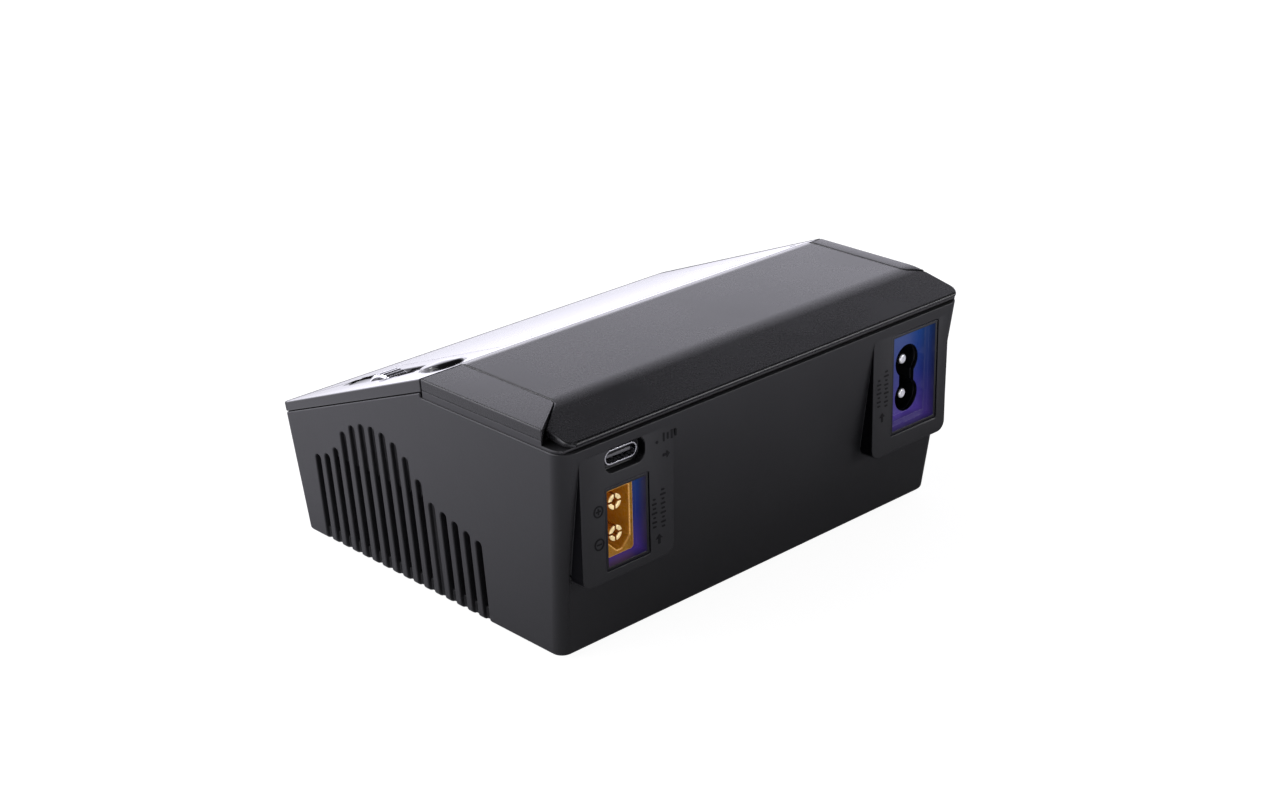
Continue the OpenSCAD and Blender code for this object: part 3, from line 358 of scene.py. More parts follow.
def circuit_green(name):
    """Solder mask with tracks under it and tinned pads."""
    f = Finish(name, (0.008, 0.09, 0.035), 0.3)
    tracks = f.node("ShaderNodeTexBrick", offset=0.35, squash=0.6)
    f.link(f.coords, tracks.inputs["Vector"])
    tracks.inputs["Scale"].default_value = 130
    tracks.inputs["Mortar Size"].default_value = 0.035
    tracks.inputs["Color1"].default_value = (0.006, 0.075, 0.03, 1.0)
    tracks.inputs["Color2"].default_value = (0.008, 0.11, 0.045, 1.0)
    tracks.inputs["Mortar"].default_value = (0.02, 0.2, 0.09, 1.0)
    dots = f.spread(f.cells(420), 1.0, 0.0, 0.12, 0.16)
    f.put("Base Color", f.mix(dots, tracks.outputs["Color"], (0.62, 0.6, 0.55, 1.0)))
    f.put("Metallic", dots)
    f.put("Roughness", f.spread(f.noise(500, 3.0), 0.22, 0.4))
    f.bump(tracks.outputs["Fac"], 0.2, 0.05 * MM)
    return f.mat


def rubber(name, color, roughness=0.75):
    """Soft rubber or wire insulation, with a fine skin and a little dust."""
    f = Finish(name, color, roughness, specular=0.35)
    skin = f.noise(1700, 4.0, 0.7)
    dusty = f.spread(f.noise(70, 4.0), 0.0, 0.3, 0.45, 0.75)
    f.put("Base Color", f.mix(dusty, f.color, scaled(color, 1.0, 0.03)))
    f.put("Roughness", f.spread(skin, roughness - 0.1, roughness + 0.1, 0.3, 0.7))
    f.put("Sheen Weight", 0.15)
    f.bump(skin, 0.25, 0.08 * MM)
    return f.mat


def wound(name, color, scale, direction, roughness=0.3, metallic=0.6):
    """Lacquered windings or printed tape, with a band for each turn."""
    f = Finish(name, color, roughness, metallic=metallic)
    turns = f.waves(scale, direction, distortion=0.4, detail=1.0)
    f.put("Base Color", f.mix(f.spread(turns, 0.0, 0.6, 0.2, 0.8), f.color, scaled(color, 0.45)))
    f.put("Roughness", f.spread(f.noise(900, 3.0), roughness * 0.7, roughness * 1.4))
    f.bump(turns, 0.35, 0.1 * MM)
    return f.mat


def sleeve(name, color, stripe):
    """Shrink sleeve on the capacitors, with one pale stripe down the negative side."""
    f = Finish(name, color, 0.25)
    wrinkle = f.noise(120, 3.0, vector=f.stretched((1, 1, 0.25)))
    stripe_mask = f.spread(f.waves(82.0, "X"), 0.0, 1.0, 0.9, 0.93)
    f.put("Base Color", f.mix(stripe_mask, f.color, (*stripe, 1.0)))
    f.put("Roughness", f.spread(wrinkle, 0.18, 0.34))
    f.bump(wrinkle, 0.15, 0.1 * MM)
    return f.mat


def tinted_glass(name):
    """The display's window: dark glass with finger smears and hairline scratches."""
    f = Finish(name, (0.16, 0.17, 0.19), 0.03)
    f.put("Transmission Weight", 0.85)
    f.put("IOR", 1.5)
    f.put("Coat Weight", 0.5)
    smear = f.noise(30, 4.0)
    f.put("Roughness", f.spread(smear, 0.015, 0.06, 0.3, 0.75))
    hair = f.scratches((70, 2000, 2000), (0.1, 0.0, 0.6))
    f.bump(f.spread(hair, 0.0, 1.0, 0.7, 0.76), 0.02, 0.02 * MM)
    return f.mat


def screen(name):
    """The dark picture area under the window, with its pixel rows."""
    f = Finish(name, (0.012, 0.014, 0.02), 0.2)
    rows = f.spread(f.waves(160, "Y"), 0.0, 0.3)
    f.put("Base Color", f.mix(rows, (0.012, 0.014, 0.022, 1.0), (0.017, 0.02, 0.03, 1.0)))
    f.put("Roughness", f.spread(f.noise(60, 2.0), 0.2, 0.26))
    f.put("Coat Weight", 0.4)
    return f.mat


def clear_pipe(name):
    """The clear lens of the status light, faintly lit."""
    f = Finish(name, (0.9, 0.92, 0.95), 0.1)
    f.put("Transmission Weight", 0.6)
    f.put("Emission Color", (0.85, 0.92, 1.0, 1.0))
    f.put("Emission Strength", 0.15)
    f.put("Roughness", f.spread(f.noise(900, 2.0), 0.05, 0.2))
    return f.mat


def ribbon_film(name):
    """Flat flexible cable: pale film with a copper line for each conductor."""
    f = Finish(name, (0.72, 0.69, 0.6), 0.4)
    lines = f.waves(420, "X")
    copper = f.spread(lines, 0.0, 0.7, 0.45, 0.55)
    f.put("Base Color", f.mix(copper, f.color, (0.45, 0.3, 0.16, 1.0)))
    f.put("Roughness", f.spread(f.noise(600, 2.0), 0.3, 0.5))
    f.bump(lines, 0.2, 0.05 * MM)
    return f.mat


CASE_GREY = (0.021, 0.021, 0.0225)
CASE_ROUGHNESS = 0.46

# One look for each material slot of the record; the two recess liners have their own below.
LOOKS = {
    "case_plastic": moulded("case_plastic", CASE_GREY, CASE_ROUGHNESS),
    "top_plastic": moulded("top_plastic", (0.017, 0.017, 0.018), 0.28, grain=0.5, wear=0.2, patch=0.03),
    "gloss_panel": bordered_gloss("gloss_panel"),
    "display_glass": tinted_glass("display_glass"),
    "rubber": rubber("rubber", (0.016, 0.016, 0.017)),
    "black_plastic": moulded("black_plastic", (0.009, 0.009, 0.01), 0.38, grain=0.7, wear=0.15),
    "amber_plastic": amber_nylon("amber_plastic"),
    "ivory_plastic": moulded("ivory_plastic", (0.72, 0.67, 0.53), 0.4, grain=0.5, wear=0.1),
    "gold_contact": metal("gold_contact", (0.95, 0.66, 0.24), 0.2),
    "steel": metal("steel", (0.62, 0.62, 0.64), 0.24),
    "aluminium": metal("aluminium", (0.72, 0.73, 0.75), 0.34, brush=(0.1, 1.0, 1.0)),
    "circuit_board": circuit_green("circuit_board"),
    "ferrite": moulded("ferrite", (0.035, 0.035, 0.038), 0.62, grain=2.0, wear=0.4),
    "coil_tape": wound("coil_tape", (0.72, 0.5, 0.06), 260, "Z", 0.28, 0.0),
    "copper": wound("copper", (0.75, 0.3, 0.1), 300, "Z"),
    "capacitor_sleeve": sleeve("capacitor_sleeve", (0.012, 0.016, 0.06), (0.6, 0.62, 0.66)),
    "wire_brown": rubber("wire_brown", (0.16, 0.06, 0.025), 0.45),
    "wire_red": rubber("wire_red", (0.42, 0.012, 0.012), 0.45),
    "wire_black": rubber("wire_black", (0.015, 0.015, 0.016), 0.45),
    "light_pipe": clear_pipe("light_pipe"),
    "ribbon": ribbon_film("ribbon"),
}
MARK = moulded("mark_ink", (0.006, 0.006, 0.007), 0.55, grain=0.3, wear=0.0, specular=0.2)
PALE_MARK = moulded("pale_mark", (0.5, 0.5, 0.5), 0.5, grain=0.3, wear=0.0)
SCREEN = screen("screen_face")

SLOT_OF = {s["node"]: s["material_slot"] for s in frame["record"]["subparts"]}

# Where each recess with a painted glow has its floor, and how strong the painted glow on its walls is.
RECESSES = {
    "dc_recess_liner": (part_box("dc_inlet_housing")[1].y - 0.5 * MM, 0.72),
    "ac_recess_liner": (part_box("mains_inlet")[1].y + 1.1 * MM, 1.0),
}

# Pieces whose look differs from the rest of their slot.
OWN_LOOKS = {
    "scroll_wheel": metal("satin_wheel", (0.5, 0.5, 0.515), 0.2, brush=(0.1, 1.0, 1.0), tarnish=0.1),
    "tub": shaded_pads("shaded_tub", CASE_GREY, CASE_ROUGHNESS),
    "dc_inlet_pins": painted_highlight_tips("gold_tips", "dc_inlet_pins", (0.95, 0.74, 0.4), 0.62),
    "mains_pins": painted_highlight_tips("steel_tips", "mains_pins", (0.7, 0.7, 0.72), 0.5),
    # painted highlight: the tongue's light grey stands in for the light it catches inside the shell
    "usb_tongue": moulded("grey_tongue_painted_highlight", (0.16, 0.16, 0.165), 0.4, grain=0.4, wear=0.0),
}


def dress_nodes():
    """Every CAD node gets its finish; the two recess liners each get a painted glow over their own
    height.
    """
    for name, obj in NODES.items():
        look = OWN_LOOKS.get(name) or LOOKS.get(SLOT_OF[name])
        if look is None:
            look = painted_glow_liner(name + "_glow", name, *RECESSES[name])
        for slot in obj.material_slots:
            slot.material = look


# --- Edge radii ----------------------------------------------------------------


JOIN_DISTANCE = 0.014 * MM  # also closes the slivers of 0.01 mm under the CAD's flat tops
FLAT_ANGLE = math.radians(0.4)
SHARP_ANGLE = math.radians(32.0)


def preparation():
    """Node group that joins split corners and clears stored normals ahead of a bevel."""
    group = bpy.data.node_groups.new("join_corners", "GeometryNodeTree")
    group.interface.new_socket("Geometry", in_out="INPUT", socket_type="NodeSocketGeometry")
    group.interface.new_socket("Geometry", in_out="OUTPUT", socket_type="NodeSocketGeometry")
    start = group.nodes.new("NodeGroupInput")
    merge = group.nodes.new("GeometryNodeMergeByDistance")
    merge.inputs["Distance"].default_value = JOIN_DISTANCE
    clear = group.nodes.new("GeometryNodeRemoveAttribute")
    clear.inputs["Name"].default_value = "custom_normal"
    smooth = group.nodes.new("GeometryNodeSetShadeSmooth")
    end = group.nodes.new("NodeGroupOutput")
    chain = (start, merge, clear, smooth, end)
    for source, target in zip(chain, chain[1:]):
        group.links.new(source.outputs[0], target.inputs[0])
    return group


PREPARE = preparation()

# Radius of the rounded edges of each node, in millimetres.
EDGE_RADII = {
    "tub": 0.3,
    "base_plate": 0.2,
    "upper_frame": 0.2,
    "rear_cover": 0.35,
    "right_cap": 0.35,
    "left_cap": 0.3,
    "front_panel": 0.3,
    "display_window": 0.12,
    "display_module": 0.2,
    "scroll_wheel": 0.12,
    "wheel_yoke": 0.15,
    "wheel_switch": 0.15,
    "back_button": 0.35,
    "button_switch": 0.2,
    "control_board": 0.1,
    "main_board": 0.12,
    "inlet_board": 0.1,
    "dc_inlet_housing": 0.18,
    "dc_inlet_pins": 0.08,
    "dc_recess_liner": 0.12,
    "usb_shell": 0.05,
    "usb_tongue": 0.1,
    "mains_inlet": 0.3,
    "mains_pins": 0.08,
    "ac_recess_liner": 0.12,
    "charge_outlet": 0.25,
    "charge_contacts": 0.12,
    "balance_socket": 0.12,
    "balance_pins": 0.08,
    "fan_frame": 0.3,
    "fan_shaft": 0.1,
    "fan_bracket": 0.2,
    "transformer_core": 0.5,
    "transformer_coil": 1.2,
    "bulk_capacitors": 0.5,
    "heatsink": 0.2,
    "power_transistors": 0.25,
    "buzzer": 0.3,
    "rubber_feet": 0.25,
    "case_screws": 0.12,
    "fan_screws": 0.12,
    "board_screws": 0.1,
    "status_lens": 0.1,
    "board_standoffs": 0.12,
}


def round_edges(obj, radius):
    """Modifiers that round the sharp edges and keep the flat faces flat in the shading."""
    prepare = obj.modifiers.new("join_corners", "NODES")
    prepare.node_group = PREPARE
    merge = obj.modifiers.new("flat_faces", "DECIMATE")
    merge.decimate_type = "DISSOLVE"
    merge.angle_limit = FLAT_ANGLE
    bevel = obj.modifiers.new("edge_radius", "BEVEL")
    bevel.width = radius * MM
    bevel.segments = 2
    bevel.limit_method = "ANGLE"
    bevel.angle_limit = SHARP_ANGLE
    bevel.use_clamp_overlap = False
    bevel.miter_outer = "MITER_ARC"
    normals = obj.modifiers.new("normals", "WEIGHTED_NORMAL")
    normals.weight = 60
    normals.keep_sharp = False


# --- Mesh helpers ---------------------------------------------------------------


def piece(name, bm, body, slot_name, material=None, smooth=True):
    """A finished bmesh becomes a named piece that rides on a body, and is returned."""
    bmesh.ops.recalc_face_normals(bm, faces=bm.faces)
    mesh = bpy.data.meshes.new(name)
    bm.to_mesh(mesh)
    bm.free()
    for polygon in mesh.polygons:
        polygon.use_smooth = smooth
    obj = bpy.data.objects.new(name, mesh)
    bpy.context.scene.collection.objects.link(obj)
    mesh.materials.append(material or LOOKS[slot_name])
    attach(obj, body)
    return obj


def add_prism(bm, outline, place, depth):
    """A closed outline in the local XY plane, raised by depth along local Z, set by a matrix."""
    bottom = [bm.verts.new(place @ Vector((x, y, 0.0))) for x, y in outline]
    top = [bm.verts.new(place @ Vector((x, y, depth))) for x, y in outline]
    bm.faces.new(bottom[::-1])
    bm.faces.new(top)
    for i in range(len(outline)):
        j = (i + 1) % len(outline)
        bm.faces.new((bottom[i], bottom[j], top[j], top[i]))


def rounded_rectangle(width, height, radius, steps=4):
    """An outline with round corners, each of so many steps."""
    points = []
    for cx, cy, start in ((1, 1, 0), (-1, 1, 90), (-1, -1, 180), (1, -1, 270)):
        for k in range(steps + 1):
            a = math.radians(start + 90 * k / steps)
            points.append((
                cx * (width / 2 - radius) + radius * math.cos(a),
                cy * (height / 2 - radius) + radius * math.sin(a),
            ))
    return points


def turn_angles(steps):
    """The angles of a full turn in equal steps."""
    return [2 * math.pi * k / steps for k in range(steps)]


def circle_points(radius, steps):
    return [(radius * math.cos(a), radius * math.sin(a)) for a in turn_angles(steps)]


def add_ring(bm, outer, inner, place, depth, steps=40):
    """A flat ring with square edges."""
    loops = []
    for radius, z in ((outer, 0.0), (outer, depth), (inner, depth), (inner, 0.0)):
        loops.append([bm.verts.new(place @ Vector((x, y, z))) for x, y in circle_points(radius, steps)])
    for a, b in zip(loops, loops[1:] + loops[:1]):
        for i in range(steps):
            j = (i + 1) % steps
            bm.faces.new((a[i], a[j], b[j], b[i]))


def smooth_path(points):
    """Catmull-Rom points through a list of corners."""
    per_span = 8
    padded = [points[0] * 2 - points[1]] + points + [points[-1] * 2 - points[-2]]
    path = []
    for i in range(1, len(padded) - 2):
        p0, p1, p2, p3 = padded[i - 1:i + 3]
        for k in range(per_span):
            t = k / per_span
            path.append(0.5 * (
                2 * p1 + (p2 - p0) * t
                + (2 * p0 - 5 * p1 + 4 * p2 - p3) * t * t
                + (3 * p1 - p0 - 3 * p2 + p3) * t ** 3
            ))
    path.append(points[-1].copy())
    return path


def add_tube(bm, path, radius, sides=14, closed=False):
    """A round tube along a path, with a turning frame that doesn't twist."""
    rings = []
    count = len(path)
    tangent = (path[1] - path[0]).normalized()
    across = tangent.orthogonal().normalized()
    for i, point in enumerate(path):
        ahead = path[(i + 1) % count] if closed or i + 1 < count else point
        behind = path[i - 1] if closed or i > 0 else point
        tangent = (ahead - behind).normalized()
        across = (across - tangent * across.dot(tangent)).normalized()
        other = tangent.cross(across)
        rings.append([
            bm.verts.new(point + (across * math.cos(a) + other * math.sin(a)) * radius)
            for a in turn_angles(sides)
        ])
    pairs = list(zip(rings, rings[1:]))
    if closed:
        pairs.append((rings[-1], rings[0]))
    for a, b in pairs:
        for k in range(sides):
            m = (k + 1) % sides
            bm.faces.new((a[k], a[m], b[m], b[k]))
    if not closed:
        bm.faces.new(rings[0][::-1])
        bm.faces.new(rings[-1])


def add_plus_arms(bm, place, reach, length, width, corner, depth):
    """The two upright arms that turn a minus into a plus."""
    for side in (-1, 1):
        arm = place @ Matrix.Translation((0, side * reach, 0))
        add_prism(bm, rounded_rectangle(width, length, corner), arm, depth)


def centre_of(node):
    low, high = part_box(node)
    return (low + high) / 2


def facing_rear(x, y, z):
    """A frame on a wall that faces +Y: local X runs to -X, local Y runs up."""
    turned = Matrix(((-1, 0, 0, 0), (0, 0, 1, 0), (0, 1, 0, 0), (0, 0, 0, 1)))
    return Matrix.Translation((x, y, z)) @ turned


# --- Marks on the rear pads -----------------------------------------------------


def rear_marks():
    """Generic marks: polarity signs, arrows, bars and columns of ticks beside the inlets."""
    dc_low, dc_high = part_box("dc_recess_liner")
    ac_low, ac_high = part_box("ac_recess_liner")
    pins_low, pins_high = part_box("dc_inlet_pins")
    usb_x, usb_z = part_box("usb_shell")[0].x, centre_of("usb_shell").z
    face_y = dc_high.y + 0.25 * MM
    proud, sink = 0.08 * MM, 0.1 * MM
    depth = proud + sink

    def at(x, z):
        return facing_rear(x, face_y - sink, z)

    bm = bmesh.new()
    pin_r = (pins_high.x - pins_low.x) / 2
    sign_x = dc_high.x + 2.0 * MM
    for z, plus in ((pins_high.z - pin_r + 1.8 * MM, True), (pins_low.z + pin_r + 1.6 * MM, False)):
        place = at(sign_x, z)
        add_ring(bm, 1.35 * MM, 1.0 * MM, place, depth)
        add_prism(bm, rounded_rectangle(1.4 * MM, 0.34 * MM, 0.1 * MM), place, depth)
        if plus:
            add_plus_arms(bm, place, 0.43 * MM, 0.52 * MM, 0.34 * MM, 0.08 * MM, depth)
    add_tick_columns(bm, at(dc_low.x - 2.6 * MM, (dc_low.z + dc_high.z) / 2 - 0.5 * MM), depth)
    add_tick_columns(bm, at(ac_high.x + 3.4 * MM, (ac_low.z + ac_high.z) / 2), depth)
    for k, bar_height in enumerate((1.9 * MM, 1.5 * MM, 1.9 * MM, 1.5 * MM)):
        bar = at(usb_x - (6.4 + 1.15 * k) * MM, usb_z + 0.6 * MM)
        add_prism(bm, rounded_rectangle(0.5 * MM, bar_height, 0.1 * MM), bar, depth)
    add_prism(bm, circle_points(0.35 * MM, 16), at(usb_x - 4.4 * MM, usb_z), depth)
    add_arrow(bm, at(usb_x - 7.0 * MM, usb_z - 3.4 * MM), 2.0 * MM, depth)
    piece("rear_marks", bm, "case", "case_plastic", MARK, smooth=False)


def add_arrow(bm, place, size, depth):
    """An arrow that points along local X, with a length of size."""
    neck, head, stem = 0.05, 0.42, 0.14
    outline = [(0.5, 0.0), (neck, head), (neck, stem), (-0.5, stem),
               (-0.5, -stem), (neck, -stem), (neck, -head)]
    add_prism(bm, [(x * size, y * size) for x, y in outline], place, depth)


def add_tick_columns(bm, place, depth):
    """Two columns of short ticks of unequal length, with an upright arrow below."""
    top, pitch, column_x = 4.6, 1.05, 1.25
    widths = (1.3, 0.9, 1.5, 0.7)
    for column, count, offset in ((-1, 7, 1.6), (1, 9, 0.0)):
        for k in range(count):
            width = widths[(k + column) % len(widths)] * MM
            shift = Matrix.Translation((column * column_x * MM, (top - k * pitch - offset) * MM, 0))
            add_prism(bm, rounded_rectangle(width, 0.42 * MM, 0.12 * MM), place @ shift, depth)
    arrow = Matrix.Translation((0, -6.4 * MM, 0)) @ Matrix.Rotation(math.radians(90), 4, "Z")
    add_arrow(bm, place @ arrow, 2.2 * MM, depth)


# --- Display, sockets and controls ----------------------------------------------


def slope_frame(x, y, z):
    """A frame on the sloping panel: local X across, local Y up the slope, local Z out of it."""
    return Matrix.Translation((x, y, z)) @ Matrix.Rotation(PANEL_SLOPE, 4, "X")


def screen_face():
    """The picture area lies in the module's shallow tray."""
    low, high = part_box("display_module")
    rim = 3.3 * MM
    across, up, thick = high.x - low.x - 2 * rim, 32.4 * MM, 0.25 * MM
    tray = 1.38 * MM  # from the module's middle out to the tray's floor
    bm = bmesh.new()
    place = slope_frame(*centre_of("display_module")) @ Matrix.Translation((0, 0, tray))
    add_prism(bm, rounded_rectangle(across, up, 0.6 * MM), place, thick)
    piece("screen_face", bm, "case", "display_glass", SCREEN, smooth=False)


def front_marks():
    """Polarity by the outlet and a row of cell dots over the balance socket."""
    outlet_low, outlet_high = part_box("charge_outlet")
    socket_low, socket_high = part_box("balance_socket")
    depth = 0.15 * MM
    bm = bmesh.new()
    for x, plus in ((outlet_low.x + 3.6 * MM, False), (outlet_high.x - 3.6 * MM, True)):
        place = front_place(x, outlet_high.z + 2.2 * MM)
        add_prism(bm, rounded_rectangle(1.8 * MM, 0.36 * MM, 0.12 * MM), place, depth)
        if plus:
            add_plus_arms(bm, place, 0.55 * MM, 0.68 * MM, 0.36 * MM, 0.12 * MM, depth)
    dots, inset = 7, 2.45 * MM
    span = socket_high.x - socket_low.x - 2 * inset
    for k in range(dots):
        place = front_place(socket_low.x + inset + span * k / (dots - 1), socket_high.z + 1.8 * MM)
        add_prism(bm, circle_points((0.28 + 0.03 * k) * MM, 16), place, depth)
    piece("front_marks", bm, "case", "case_plastic", PALE_MARK, smooth=False)


def front_place(x, z):
    """A frame on the leaning front wall: local X to +X, local Y up, local Z out."""
    low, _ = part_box("tub")
    top_z, sink = 30.5 * MM, 0.07 * MM
    y = low.y + (top_z - z) * math.tan(FRONT_LEAN) + sink
    return Matrix.Translation((x, y, z)) @ Matrix.Rotation(math.radians(90) + FRONT_LEAN, 4, "X")


# --- Fan rotor ------------------------------------------------------------------


def add_revolved(bm, profile, place, steps=48):
    """A closed profile of radius and height turned about local Z."""
    rings = [
        [bm.verts.new(place @ Vector((r * math.cos(a), r * math.sin(a), z))) for r, z in profile]
        for a in turn_angles(steps)
    ]
    for k in range(steps):
        first, second = rings[k], rings[(k + 1) % steps]
        for i in range(len(profile)):
            j = (i + 1) % len(profile)
            bm.faces.new((first[i], first[j], second[j], second[i]))


def add_blade(bm, place, turn, hub_r, tip_r, depth):
    """One blade that sweeps and flattens from root to tip, closed by its own edges."""
    radial, chordal = 7, 6
    root_r = hub_r - 0.4 * MM
    root_lean, lean_loss = 50, 20

    def vertex(i, j, surface):
        t, u = i / radial, j / chordal * 2 - 1
        radius = root_r + (tip_r - root_r) * t
        lean = math.radians(root_lean - lean_loss * t)
        half_chord = 0.33 * (1 - 0.1 * t)
        a = turn + 0.28 * t * t + half_chord * u * math.cos(lean - 0.5) * 1.5
        z = depth / 2 + 0.42 * depth * u * math.sin(lean) / math.sin(math.radians(root_lean))
        z += 0.25 * MM * (1 - u * u)
        thick = 0.42 * MM * max(0.25, 1 - u * u * 0.7) * surface
        return bm.verts.new(place @ Vector((radius * math.cos(a), radius * math.sin(a), z + thick / 2)))

    upper, lower = (
        [[vertex(i, j, surface) for j in range(chordal + 1)] for i in range(radial + 1)]
        for surface in (1, -1)
    )
    for i in range(radial):
        for j in range(chordal):
            bm.faces.new((upper[i][j], upper[i + 1][j], upper[i + 1][j + 1], upper[i][j + 1]))
            bm.faces.new((lower[i][j], lower[i][j + 1], lower[i + 1][j + 1], lower[i + 1][j]))
        for j in (0, chordal):
            bm.faces.new((upper[i][j], lower[i][j], lower[i + 1][j], upper[i + 1][j]))
    for i in (0, radial):
        for j in range(chordal):
            bm.faces.new((upper[i][j], upper[i][j + 1], lower[i][j + 1], lower[i][j]))


def fan_rotor():
    """Hub with a dished face and seven blades; local Z is the fan's axle."""
    low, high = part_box("fan_rotor")
    centre = (low + high) / 2
    depth = high.x - low.x
    hub_r, bore_r, wall = 7.9 * MM, 0.8 * MM, 1.0 * MM
    tip_r = (high.y - low.y) / 2 - 0.2 * MM
    inner_z, rear_z = 4.6 * MM, 0.1 * MM
    place = Matrix.Translation((low.x, centre.y, centre.z)) @ Matrix(
        ((0, 0, 1, 0), (1, 0, 0, 0), (0, 1, 0, 0), (0, 0, 0, 1)))
    bm = bmesh.new()
    add_revolved(bm, [
        (bore_r, depth - 0.2 * MM), (3.2 * MM, depth - 0.2 * MM), (3.8 * MM, depth - 0.5 * MM),
        (6.9 * MM, depth - 0.3 * MM), (7.6 * MM, depth - 0.6 * MM), (hub_r, depth - 1.1 * MM),
        (hub_r, rear_z), (hub_r - wall, rear_z), (hub_r - wall, inner_z), (bore_r, inner_z),
    ], place)
    for turn in turn_angles(7):
        add_blade(bm, place, turn, hub_r, tip_r, depth)
    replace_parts(piece("fan_blades", bm, "fan_rotor", "black_plastic"), "fan_rotor")


# --- Inner parts ----------------------------------------------------------------


def toroid():
    """A ring core with a winding of enamelled wire round it."""
    low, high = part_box("power_inductor")
    centre = (low + high) / 2
    minor = (high.z - low.z) / 2
    major = (high.x - low.x) / 2 - minor
    wire = 0.42 * MM
    bm = bmesh.new()
    core = [centre + Vector((major * math.cos(a), major * math.sin(a), 0)) for a in turn_angles(48)]
    add_tube(bm, core, minor - 2 * wire, sides=20, closed=True)
    piece("inductor_core", bm, "case", "ferrite")
    turns, per_turn = 26, 14
    bm = bmesh.new()
    path = []
    for k, a in enumerate(turn_angles(turns * per_turn)):
        b = 2 * math.pi * k / per_turn
        r = major + (minor - wire) * math.cos(b)
        path.append(centre + Vector((r * math.cos(a), r * math.sin(a), (minor - wire) * math.sin(b))))
    add_tube(bm, path, wire, sides=8, closed=True)
    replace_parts(piece("inductor_winding", bm, "case", "copper"), "power_inductor")


def mains_leads(top):
    """Two leads from the mains pins down to the board."""
    pins_low, pins_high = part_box("mains_pins")
    low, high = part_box("mains_wires")
    radius = 1.2 * MM
    pin_x = (pins_low.x + pins_high.x) / 2
    start_y, end_y = pins_low.y - 0.2 * MM - radius, low.y + radius
    bm = bmesh.new()
    for x, z in (
        (low.x + radius + 2.0 * MM, pins_low.z + 1.5 * MM),
        (high.x - radius, pins_high.z - 1.5 * MM),
    ):
        add_tube(bm, smooth_path([
            Vector((pin_x, start_y, z)),
            Vector(((pin_x + x) / 2, start_y - 2.0 * MM, z - 2.0 * MM)),
            Vector((x, end_y + 2.5 * MM, z - 7.0 * MM)),
            Vector((x, end_y, top + 8.0 * MM)),
            Vector((x, end_y, top + 0.1 * MM)),
        ]), radius)
    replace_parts(piece("mains_leads", bm, "case", "wire_brown"), "mains_wires")


def dc_lead(name, slot_name, z, end_shift, top):
    """One lead from a pin of the DC inlet down to the board."""
    pins_low, pins_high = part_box("dc_inlet_pins")
    low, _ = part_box("dc_wires")
    radius = 1.5 * MM
    pin_x = (pins_low.x + pins_high.x) / 2
    start = Vector((pin_x, pins_low.y - 0.1 * MM - radius, z))
    end = Vector((low.x + radius, low.y + radius + end_shift, top + 0.1 * MM))
    bm = bmesh.new()
    add_tube(bm, smooth_path([
        start,
        start + Vector((-2.5 * MM, -1.5 * MM, -0.6 * MM)),
        Vector((pin_x - 8.0 * MM, end.y + 5.5 * MM, z - 5.0 * MM)),
        Vector((end.x + 1.0 * MM, end.y + 0.6 * MM, top + 6.0 * MM)),
        end,
    ]), radius)
    return piece(name, bm, "case", slot_name)


def fan_lead(top):
    """A pair of thin leads from the fan to the board."""
    low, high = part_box("fan_cable")
    radius = 0.5 * MM
    bm = bmesh.new()
    for side in (-1, 1):
        offset = Vector((0, side * 0.52 * MM, 0))
        add_tube(bm, smooth_path([
            Vector((high.x - radius, high.y - 2.0 * MM - radius, low.z + 1.0 * MM)) + offset,
            Vector((high.x - 4.6 * MM, low.y + 1.4 * MM, low.z + 1.0 * MM)) + offset,
            Vector((low.x + 1.2 * MM, low.y + 1.4 * MM, high.z - 1.6 * MM)) + offset,
            Vector((low.x + 1.0 * MM, high.y - 7.2 * MM, top + 0.2 * MM)) + offset,
        ]), radius, sides=10)
    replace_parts(piece("fan_lead", bm, "case", "wire_black"), "fan_cable")


def cables():
    """The wires run in smooth curves between the inlets, the fan and the board."""
    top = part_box("main_board")[1].z
    pins_low, pins_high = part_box("dc_inlet_pins")
    mains_leads(top)
    plus = dc_lead("dc_lead_plus", "wire_red", pins_high.z - 1.75 * MM, 6.0 * MM, top)
    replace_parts(plus, "dc_wires")
    dc_lead("dc_lead_minus", "wire_black", pins_low.z + 1.75 * MM, 0.0, top)
    fan_lead(top)


TALL_PARTS = (
    "transformer_core", "transformer_coil", "bulk_capacitors", "power_inductor", "heatsink",
    "power_transistors", "buzzer", "mains_wires", "dc_wires", "fan_cable", "display_ribbon",
)
CHIP_SIZES = [(6.5, 5.0, 1.5), (5.0, 4.0, 1.4), (3.2, 1.6, 0.6), (2.0, 1.25, 0.5), (3.2, 2.5, 1.0)]


def add_legs(bm, place, width, depth, height):
    """Four legs on each side of a chip, or an end cap on each side of a small part."""
    tall = height > 0.9 * MM
    for k in range(4 if tall else 1):
        for side in (-1, 1):
            if tall:
                shift = Matrix.Translation((side * (width / 2 + 0.25 * MM), (k - 1.5) * depth / 4.6, 0))
                foot, raised = rounded_rectangle(0.6 * MM, 0.35 * MM, 0.05 * MM, 1), 0.3 * MM
            else:
                shift = Matrix.Translation((side * (width / 2 + 0.12 * MM), 0, 0))
                foot, raised = rounded_rectangle(0.3 * MM, depth * 0.9, 0.05 * MM, 1), height * 0.8
            add_prism(bm, foot, place @ shift, raised)


